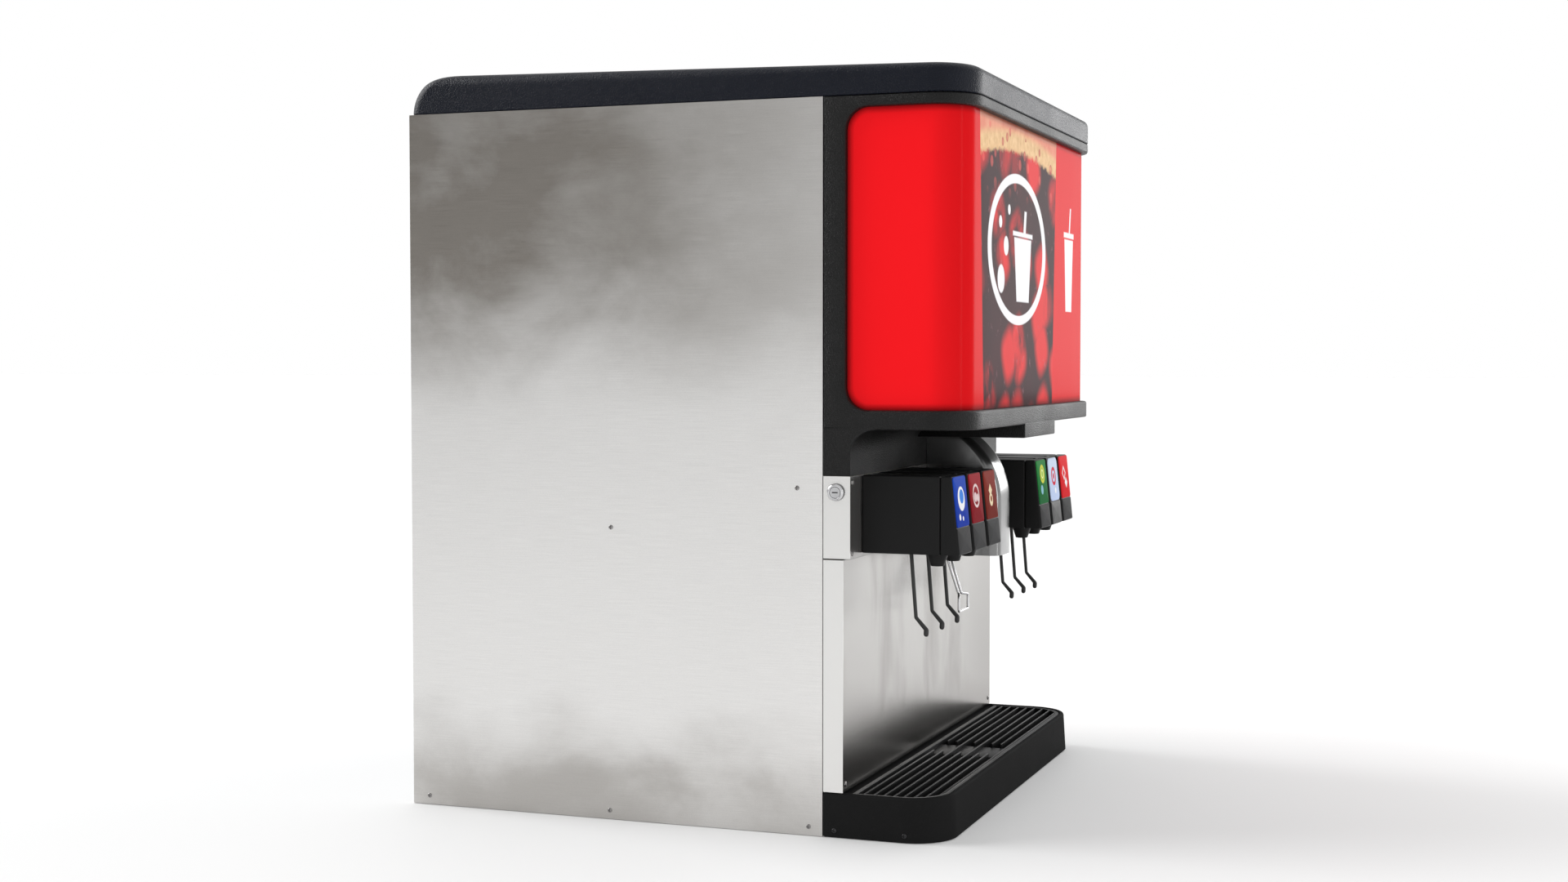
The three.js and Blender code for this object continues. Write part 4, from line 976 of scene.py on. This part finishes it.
def card(width, low, high, bend, thickness):
    """A thin card on the slanted nose, with its own flat coordinates from 0 to 1. Rings run from its
    back edge round a soft rim to the middle of its face."""
    turn = np.linspace(0, np.pi / 2, 4)
    soft = thickness * 0.6
    inset = np.concatenate([[0.0, 0.0], soft * (1 - np.cos(turn))[1:], [soft]])
    flank = thickness - soft
    rise = np.concatenate([[0.0, flank], flank + soft * np.sin(turn)[1:], [thickness]])
    shrink = np.ones(len(inset))
    shrink[-1] = 0
    corner = np.maximum(bend - inset, 0.0002)
    u, v = ring(width / 2 - inset, -(high - low) / 2 + inset, (high - low) / 2 - inset, (corner, corner))
    u, v = u * shrink[:, None], v * shrink[:, None]
    z = (low + high) / 2 + v
    slope = np.array([NOSE_LOW - NOSE_HIGH, VALVE_HIGH - VALVE_LOW])
    out = np.array([-slope[1], slope[0]]) / np.linalg.norm(slope)
    move = rise[:, None]
    points = np.stack([u, nose_at(z) + out[0] * move, z + out[1] * move], -1)
    return points, np.stack([u / width + 0.5, v / (high - low) + 0.5], -1)


CARD_SHAPE, PRINT_EDGE = 1.12, 0.012


def flavour_card(name, ground, shade, shapes):
    """A printed card: a ground that fades upwards, and plain shapes laid over it in order. A shape is a
    disc, a turned square or a ring, with its place and size on a card one wide, its colour and, for a
    ring, how thick it is to either side."""
    card_print = Finish(name, Roughness=0.4, Specular_IOR_Level=0.004)
    flat = Value(node(card_print.tree, "UVMap", uv_map="UVMap").outputs[0])
    place = node(card_print.tree, "SeparateXYZ", {0: flat}).outputs
    u, v = Value(place["X"]) - 0.5, (Value(place["Y"]) - 0.5) * CARD_SHAPE
    colour = blended(between(v, -0.5, 0.5), shade, ground)
    colour = blended(card_print.noise(180.0, 3.0, 0.5) * 0.01, colour, (0.9, 0.9, 0.9, 1))
    for kind, cu, cv, size, tint, *thick in shapes:
        a, b = u - cu, v - cv
        far = most(abs(a + b), abs(a - b)) if kind == "square" else distance(a, b)
        if kind == "ring":
            far, size = abs(far - size), thick[0]
        colour = blended(between(far, size + PRINT_EDGE, size - PRINT_EDGE), colour, tint)
    return card_print.paint(Base_Color=colour)


white, cream, navy_blue = (0.85, 0.86, 0.88, 1), (0.80, 0.66, 0.44, 1), (0.05, 0.22, 0.72, 1)
rose, blush_pink, brown = (0.75, 0.6, 0.6, 1), (0.72, 0.55, 0.56, 1), (0.25, 0.05, 0.02, 1)
yellow, leaf, pale_lime = (0.62, 0.62, 0.05, 1), (0.35, 0.55, 0.06, 1), (0.8, 0.82, 0.4, 1)
water, crimson, berry_red = (0.25, 0.5, 0.6, 1), (0.60, 0.03, 0.06, 1), (0.72, 0.008, 0.014, 1)
cards = [
    ("cola_card", (0.008, 0.055, 0.42, 1), (0.006, 0.035, 0.33, 1), [
        ("disc", 0.02, 0.06, 0.27, white), ("disc", 0.05, 0.11, 0.16, navy_blue),
        ("disc", -0.2, -0.34, 0.07, white), ("disc", 0.04, -0.38, 0.05, white),
    ]),
    ("cherry_card", (0.30, 0.006, 0.014, 1), (0.20, 0.004, 0.01, 1), [
        ("ring", 0.0, 0.05, 0.24, rose, 0.03), ("disc", -0.07, 0.02, 0.11, blush_pink),
        ("disc", 0.11, 0.0, 0.09, blush_pink),
    ]),
    ("root_card", (0.22, 0.022, 0.012, 1), (0.15, 0.014, 0.008, 1), [
        ("square", 0.0, 0.1, 0.15, cream), ("disc", 0.0, -0.12, 0.15, cream),
        ("disc", 0.02, -0.1, 0.07, brown),
    ]),
    ("lime_card", (0.012, 0.20, 0.035, 1), (0.008, 0.12, 0.03, 1), [
        ("disc", 0.05, 0.2, 0.24, yellow), ("disc", 0.05, 0.2, 0.17, leaf),
        ("ring", 0.05, 0.2, 0.1, pale_lime, 0.02), ("disc", -0.1, -0.2, 0.12, water),
    ]),
    ("light_card", (0.60, 0.70, 0.86, 1), (0.50, 0.60, 0.82, 1), [
        ("ring", 0.0, 0.08, 0.2, crimson, 0.045), ("disc", 0.0, 0.08, 0.08, crimson),
        ("disc", 0.1, -0.3, 0.08, white),
    ]),
    ("berry_card", berry_red, (0.62, 0.006, 0.012, 1), [
        ("square", -0.05, 0.1, 0.2, white), ("square", -0.05, 0.1, 0.13, berry_red),
        ("square", 0.12, -0.16, 0.15, white),
    ]),
]
grey_holder = moulded("grey_holder", (0.038, 0.038, 0.039), 1500.0, 0.2, 0.5, 0.015)
lever_plastic = moulded("lever_plastic", (0.028, 0.028, 0.028), 1500.0, 0.12, 0.42, 0.4)
cover(black_cover, *[f"valve_body_{n}" for n in range(1, 7)], width=0.0008)

NOZZLE_REACH = 0.1108
nozzle_profile = [
    (0.0, -0.0112), (0.0052, -0.0112), (0.0058, -0.0138), (0.0064, -0.0143), (0.0071, -0.0142),
    (0.0077, -0.0134), (0.0108, -0.0042), (0.0112, -0.003), (0.0112, 0.0005), (0.0108, 0.0009),
    (0.0108, 0.012), (0.0, 0.012),
]
lever_line = [(0, -80.3, 321.5), (0, -80.9, 306.0), (0, -86.4, 236.4), (0, -98.2, 223.2), (0, -98.0, 218.4)]
lever_line = filleted(np.array(lever_line) / 1000, [0, 0.004, 0.003, 0.0022, 0])
thick_at, lever_radius = [0.2184, 0.2225, 0.2245, 0.236, 0.3], [0.0029, 0.0029, 0.0023, 0.0021, 0.0022]
thick = np.interp(lever_line[:, 2], thick_at, lever_radius)
PIN_RADIUS = 0.0026
pin_line = np.array([(x, 0, 0) for x in (-0.0125, -0.006, 0.006, 0.0125)]) + (0, -0.0803, 0.3225)
DOMED_CARD = 5
CARD_LOW, CARD_HIGH, HOLDER_LOW, HOLDER_HIGH = 0.3382, 0.3932, 0.3093, 0.3372

for n, (offset, (card_name, ground, shade, shapes)) in enumerate(zip(OFFSETS, cards), 1):
    at = np.array([MIDDLE + offset, 0, 0])
    on_front = np.array([0, FRONT, 0])
    valve_shell = surface(f"valve_shell_{n}", back_shell + at, nose_shell + at)
    fit(valve_shell, black_cover, stands_for=[f"valve_cover_{n}"])
    bend = 0.008 if n == DOMED_CARD else 0.0035
    points, flat = card(0.0505, CARD_LOW, CARD_HIGH, bend, 0.0009)
    printed_card = surface(f"flavour_card_{n}", points + at, uv=flat)
    fit(printed_card, flavour_card(card_name, ground, shade, shapes))
    points, flat = card(0.0515, HOLDER_LOW, HOLDER_HIGH, 0.0012, 0.0007)
    holder_plastic = black_cover if n == DOMED_CARD else grey_holder
    fit(surface(f"card_holder_{n}", points + at, uv=flat), holder_plastic)
    nozzle = turned(nozzle_profile, 40) + at + (0, FRONT - NOZZLE_REACH, VALVE_LOW)
    fit(surface(f"nozzle_cup_{n}", nozzle), black_cover, stands_for=[f"nozzle_{n}"])
    stick = rod(lever_line + at + on_front, thick, 14)
    pin = rod(pin_line + at + on_front, PIN_RADIUS, 12, (0, 0, 1))
    lever_stick = surface(f"lever_stick_{n}", stick, pin, sharp=60)
    fit(lever_stick, lever_plastic, f"lever_{n}", [f"lever_{n}"])

# ---- Drip tray and grille -----------------------------------------------------------------------
# The tray is a black moulding with a rolled rim, screwed to the cabinet's foot. Cups stand on its grille,
# which is moulded in one with bars along its length and a lower web across the middle, and lifts out.

TRAY_TOP, TRAY_BELLY, TRAY_REACH = 0.049, 0.1395, 0.1365
SEAT_REAR, RAIL = 0.031, 0.006


def tray_rings():
    """Rings from the middle of the base, out and up the drafted wall, over the rolled rim, down to the
    grille's seat, down again to the floor and in to its middle. Front corners are large arcs and rear
    ones nearly sharp."""
    turn = np.linspace(0, np.pi, 11)
    rim = 0.003
    high = TRAY_TOP - rim
    rows = [  # inset from the outer plan at the rim, height, and how far the rear stands in
        (0.0, 0.0, 0.0, 0), (0.0012, 0.0, 0.0, 1), (0.0, 0.0012, 0.0, 1), (0.0, high, 0.0, 1),
    ]
    rows += [(rim * (1 - np.cos(a)), high + rim * np.sin(a), 0.0, 1) for a in turn[1:-1]]
    seat, deep = 0.037, 0.006
    rows += [
        (RAIL, high, 1.0, 1), (RAIL, seat, 1.0, 1), (0.012, seat, 1.0, 1), (0.013, deep, 1.0, 1),
        (0.013, deep, 1.0, 0),
    ]
    inset, height, inner, shrink = np.array(rows).T
    draft = (TRAY_BELLY - TRAY_REACH) * (1 - np.clip(height / TRAY_TOP, 0, 1)) * (inner < 0.5)
    near = FRONT - TRAY_REACH - draft + inset
    rear = np.where(inner > 0.5, FRONT - SEAT_REAR - (inset - RAIL), FRONT - SEAM - np.minimum(inset, 0.003))
    bend = CORNER - inset
    small = np.full_like(bend, 0.0008)
    x, y = ring(HALF - inset, near, rear, (bend, small), 14)
    middle = FRONT - 0.08
    x, y = x * shrink[:, None], middle + (y - middle) * shrink[:, None]
    return np.stack([x, y, height[:, None] + 0 * x], -1)


tray_plastic = moulded("tray_plastic", (0.0165, 0.0165, 0.0167), 1500.0, 0.2, 0.5, 0.003)
tray = surface("tray_basin", tray_rings())
fit(tray, tray_plastic, stands_for=["drip_tray"])
heads = []
for side in (-1, 1):
    centres = [(side * SIDE_SEAT, FRONT - y, 0.0078) for y in (0.0137, 0.0933)]
    heads += screw_heads(centres, (side, 0, 0))
blackened = polished("blackened", (0.06, 0.06, 0.062), 0.35)
fit(surface("tray_screws", *heads), blackened)

GRILLE_TOP, GRILLE_LOW, WEB_HALF, WEB_TOP = 0.048, 0.0373, 0.0315, 0.043
BARS, FIRST_BAR, BAR_PITCH, BAR_WIDTH = 8, 0.044, 0.01125, 0.0022
WHOLE_BARS, WEB_FRONT, WEB_REAR, RIB_HALF, RIB_TOP = (2, 4, 7), FRONT - 0.126, FRONT - 0.0355, 0.0015, 0.0413


def grille_frame():
    """A closed rail round the grille: a section with round top edges carried round the seat's plan."""
    turn = np.linspace(0, np.pi / 2, 4)
    soft = 0.0008
    outer, inner = 0.0065, 0.0115
    inset = np.concatenate([
        [outer], outer + soft * (1 - np.cos(turn)), inner - soft * (1 - np.sin(turn)), [inner, outer],
    ])
    height = np.concatenate([
        [GRILLE_LOW], GRILLE_TOP - soft * (1 - np.sin(turn)), GRILLE_TOP - soft * (1 - np.cos(turn)),
        [GRILLE_LOW, GRILLE_LOW],
    ])
    x, y = ring(
        HALF - inset, FRONT - TRAY_REACH + inset, FRONT - SEAT_REAR - (inset - RAIL),
        (CORNER - inset, np.full_like(inset, 0.0008)), 14,
    )
    return np.stack([x, y, height[:, None] + 0 * x], -1)


def grille_bars():
    """Bars along X, each ending inside the frame: where the plan is round, at the arc's X for the bar's
    Y."""
    bars = []
    inset = 0.0105
    for i in range(BARS):
        reach = FIRST_BAR + i * BAR_PITCH
        past = max(reach - (TRAY_REACH - CORNER), 0)
        end = HALF - CORNER + np.sqrt((CORNER - inset) ** 2 - past**2)
        y = FRONT - reach
        halves = [(-end, -WEB_HALF + 0.0006), (WEB_HALF - 0.0006, end)]
        parts = [(-end, end)] if i in WHOLE_BARS else halves
        for x0, x1 in parts:
            bars.append(rounded_block(
                (x0, y - BAR_WIDTH / 2, GRILLE_LOW), (x1, y + BAR_WIDTH / 2, GRILLE_TOP), 0.0009, 3
            ))
    web = [rounded_block((-WEB_HALF, WEB_FRONT, GRILLE_LOW), (WEB_HALF, WEB_REAR, WEB_TOP), 0.0008, 2)]
    ribs = [
        rounded_block((x - RIB_HALF, WEB_FRONT, GRILLE_LOW), (x + RIB_HALF, WEB_REAR, RIB_TOP), 0.0005, 2)
        for x in (-0.165, 0.165)
    ]
    return bars + web + ribs


grille_plastic = moulded("grille_plastic", (0.012, 0.012, 0.0122), 1500.0, 0.15, 0.4, 0.06)
grille = surface("grille_bars", grille_frame(), *grille_bars())
fit(grille, grille_plastic, "drip_grille", ["drip_grille"])

# ---- Lid ----------------------------------------------------------------------------------------
# A foam-filled moulding in dark navy with a leather grain. It drops over the bin's rim, with a plug that
# centres it, and covers the housing too. Its top falls a little towards the front.

LID_LOW = PANEL_TOP + 0.0003
LID_DEPTH = REAR - FRONT + REACH
LID_RISE, LID_FALL = 0.031, 0.014
PLUG_FRONT, PLUG_REAR = FRONT + 0.065, FRONT + 0.461


def lid_rings():
    """Rings at shares of the height: upright, then a quarter turn in to the flat sloping top, with the
    rear rolling over as a quarter ellipse. Below, rings run in to the plug, down it and to its
    middle."""
    turn = np.linspace(0, np.pi / 2, 13)
    share = np.concatenate([[0.0, 0.03], np.linspace(0.1, 0.7, 9), 0.7 + 0.3 * np.sin(turn[1:])])
    inset = np.concatenate([[0.0010, 0.0], np.zeros(9), 0.012 * (1 - np.cos(turn[1:]))])
    roll = 0.037 * (1 - np.sqrt(1 - np.minimum(share, 1) ** 2))
    near, far = FRONT - REACH + inset, REAR - roll - inset * (share < 0.1)
    x, y = ring(HALF - inset, near, far, (CORNER - inset, 0.014 + roll / 2), 20)
    height = LID_RISE + LID_FALL * (y - FRONT + REACH) / LID_DEPTH
    z = LID_LOW + height * share[:, None]
    outside = np.stack([x, y, z], -1)
    centre = outside[-1].mean(0) * (0, 1, 0)
    centre[2] = LID_LOW + LID_RISE + LID_FALL * (centre[1] - FRONT + REACH) / LID_DEPTH
    roof = centre + (outside[-1:] - centre) * np.array([0.66, 0.33, 0.0])[:, None, None]
    plug_x = np.array([0.2807, 0.2807, 0.2787, 0.0])
    plug_z = LID_LOW + np.array([0.0, -0.020, -0.022, -0.022])
    near, far = PLUG_FRONT, PLUG_REAR
    grow = np.array([1.0, 1.0, 0.993, 0.0])
    middle = (near + far) / 2
    bend = np.array([0.012, 0.012, 0.012, 0.0001])
    x, y = ring(plug_x, middle - (middle - near) * grow, middle + (far - middle) * grow, (bend, bend), 20)
    plug = np.stack([x, y, plug_z[:, None] + 0 * x], -1)
    return np.concatenate([plug[::-1], outside, roof])


navy = moulded("navy_lid", (0.0022, 0.0040, 0.0105), 850.0, 0.6, 0.40, 0.21)
fit(surface("lid_moulding", lid_rings()), navy, "lid", ["lid"])

# ---- Studio -------------------------------------------------------------------------------------
# A pale floor under a sky that is white on the right and dim on the left, and plain white to look at.
# A broad soft sun stands behind, and a bright panel far to the right lights the front at a grazing angle.

bpy.context.scene.view_settings.view_transform = "Standard"


def pale_floor():
    """A white floor that glows a little, so that its shadows stay light."""
    ground = Finish(
        "pale_floor", Roughness=0.6, Specular_IOR_Level=0.1,
        Emission_Color=(1, 1, 1, 1), Emission_Strength=0.12,
    )
    tone = ground.noise(0.6, 2.0, 0.5)
    return ground.paint(Base_Color=blended(tone, (0.74, 0.74, 0.74, 1), (0.76, 0.76, 0.76, 1)))


FLOOR_HALF, FLOOR_LEVEL = 60, -0.0005
span = np.linspace(-FLOOR_HALF, FLOOR_HALF, 2)
floor = surface("floor", np.stack(np.broadcast_arrays(span[:, None], span[None], FLOOR_LEVEL), -1))
floor.data.materials.append(pale_floor())

world = bpy.data.worlds.new("surround")
bpy.context.scene.world = world
world.use_nodes = True
sky = world.node_tree
looking = Value(node(sky, "TexCoord").outputs["Generated"])
way = node(sky, "SeparateXYZ", {0: looking}).outputs
dim_side = between(Value(way["Y"]), 0.75, -0.05, 0.17, 0.70)
white_side = between(Value(way["X"]), -0.30, 0.30)
seen = most(white_side, Value(node(sky, "LightPath").outputs["Is Camera Ray"]))
sky_light = node(sky, "Mix", {0: seen, 2: dim_side, 3: 1.0}, data_type="FLOAT").outputs[0]
sky.links.new(sky_light, sky.nodes["Background"].inputs["Strength"])
sky.nodes["Background"].inputs["Color"].default_value = (1, 1, 1, 1)


def lamp(kind, name, place, power, aim=(0, 0, 0.4), **settings):
    """A light at a place, turned to shine at its aim and not itself seen."""
    light = bpy.data.lights.new(name, kind)
    light.energy = power
    for key, value in settings.items():
        setattr(light, key, value)
    made = bpy.data.objects.new(name, light)
    bpy.context.scene.collection.objects.link(made)
    made.location = place
    made.rotation_euler = (Vector(aim) - Vector(place)).to_track_quat("-Z", "Y").to_euler()
    made.visible_camera = False
    return made


SIGN_MIDDLE = (0, -0.34, 0.6)
panel = {"shape": "RECTANGLE", "size_y": 1.5}
lamp("SUN", "soft_sun", (-0.35, 4.0, 2.6), 2.75, angle=np.radians(38))
lamp("AREA", "grazing_panel", (3.9, -1.75, 1.15), 34, SIGN_MIDDLE, size=1.8, **panel)
lamp("AREA", "edge_strip", (-0.3, -3.4, 0.8), 8, SIGN_MIDDLE, size=0.35, **panel)

lens = bpy.data.cameras.new("camera")
lens.lens, lens.sensor_width, lens.clip_end = 47.75, 36.0, 200
TILT, PAN = 2.2364, 20.1214
camera = bpy.data.objects.new("camera", lens)
bpy.context.scene.collection.objects.link(camera)
camera.location = (-2.44674, -0.73555 + FRONT, 0.52037)
camera.rotation_euler = np.radians((90 - TILT, 0, PAN - 90))
bpy.context.scene.camera = camera

bpy.context.view_layer.update()
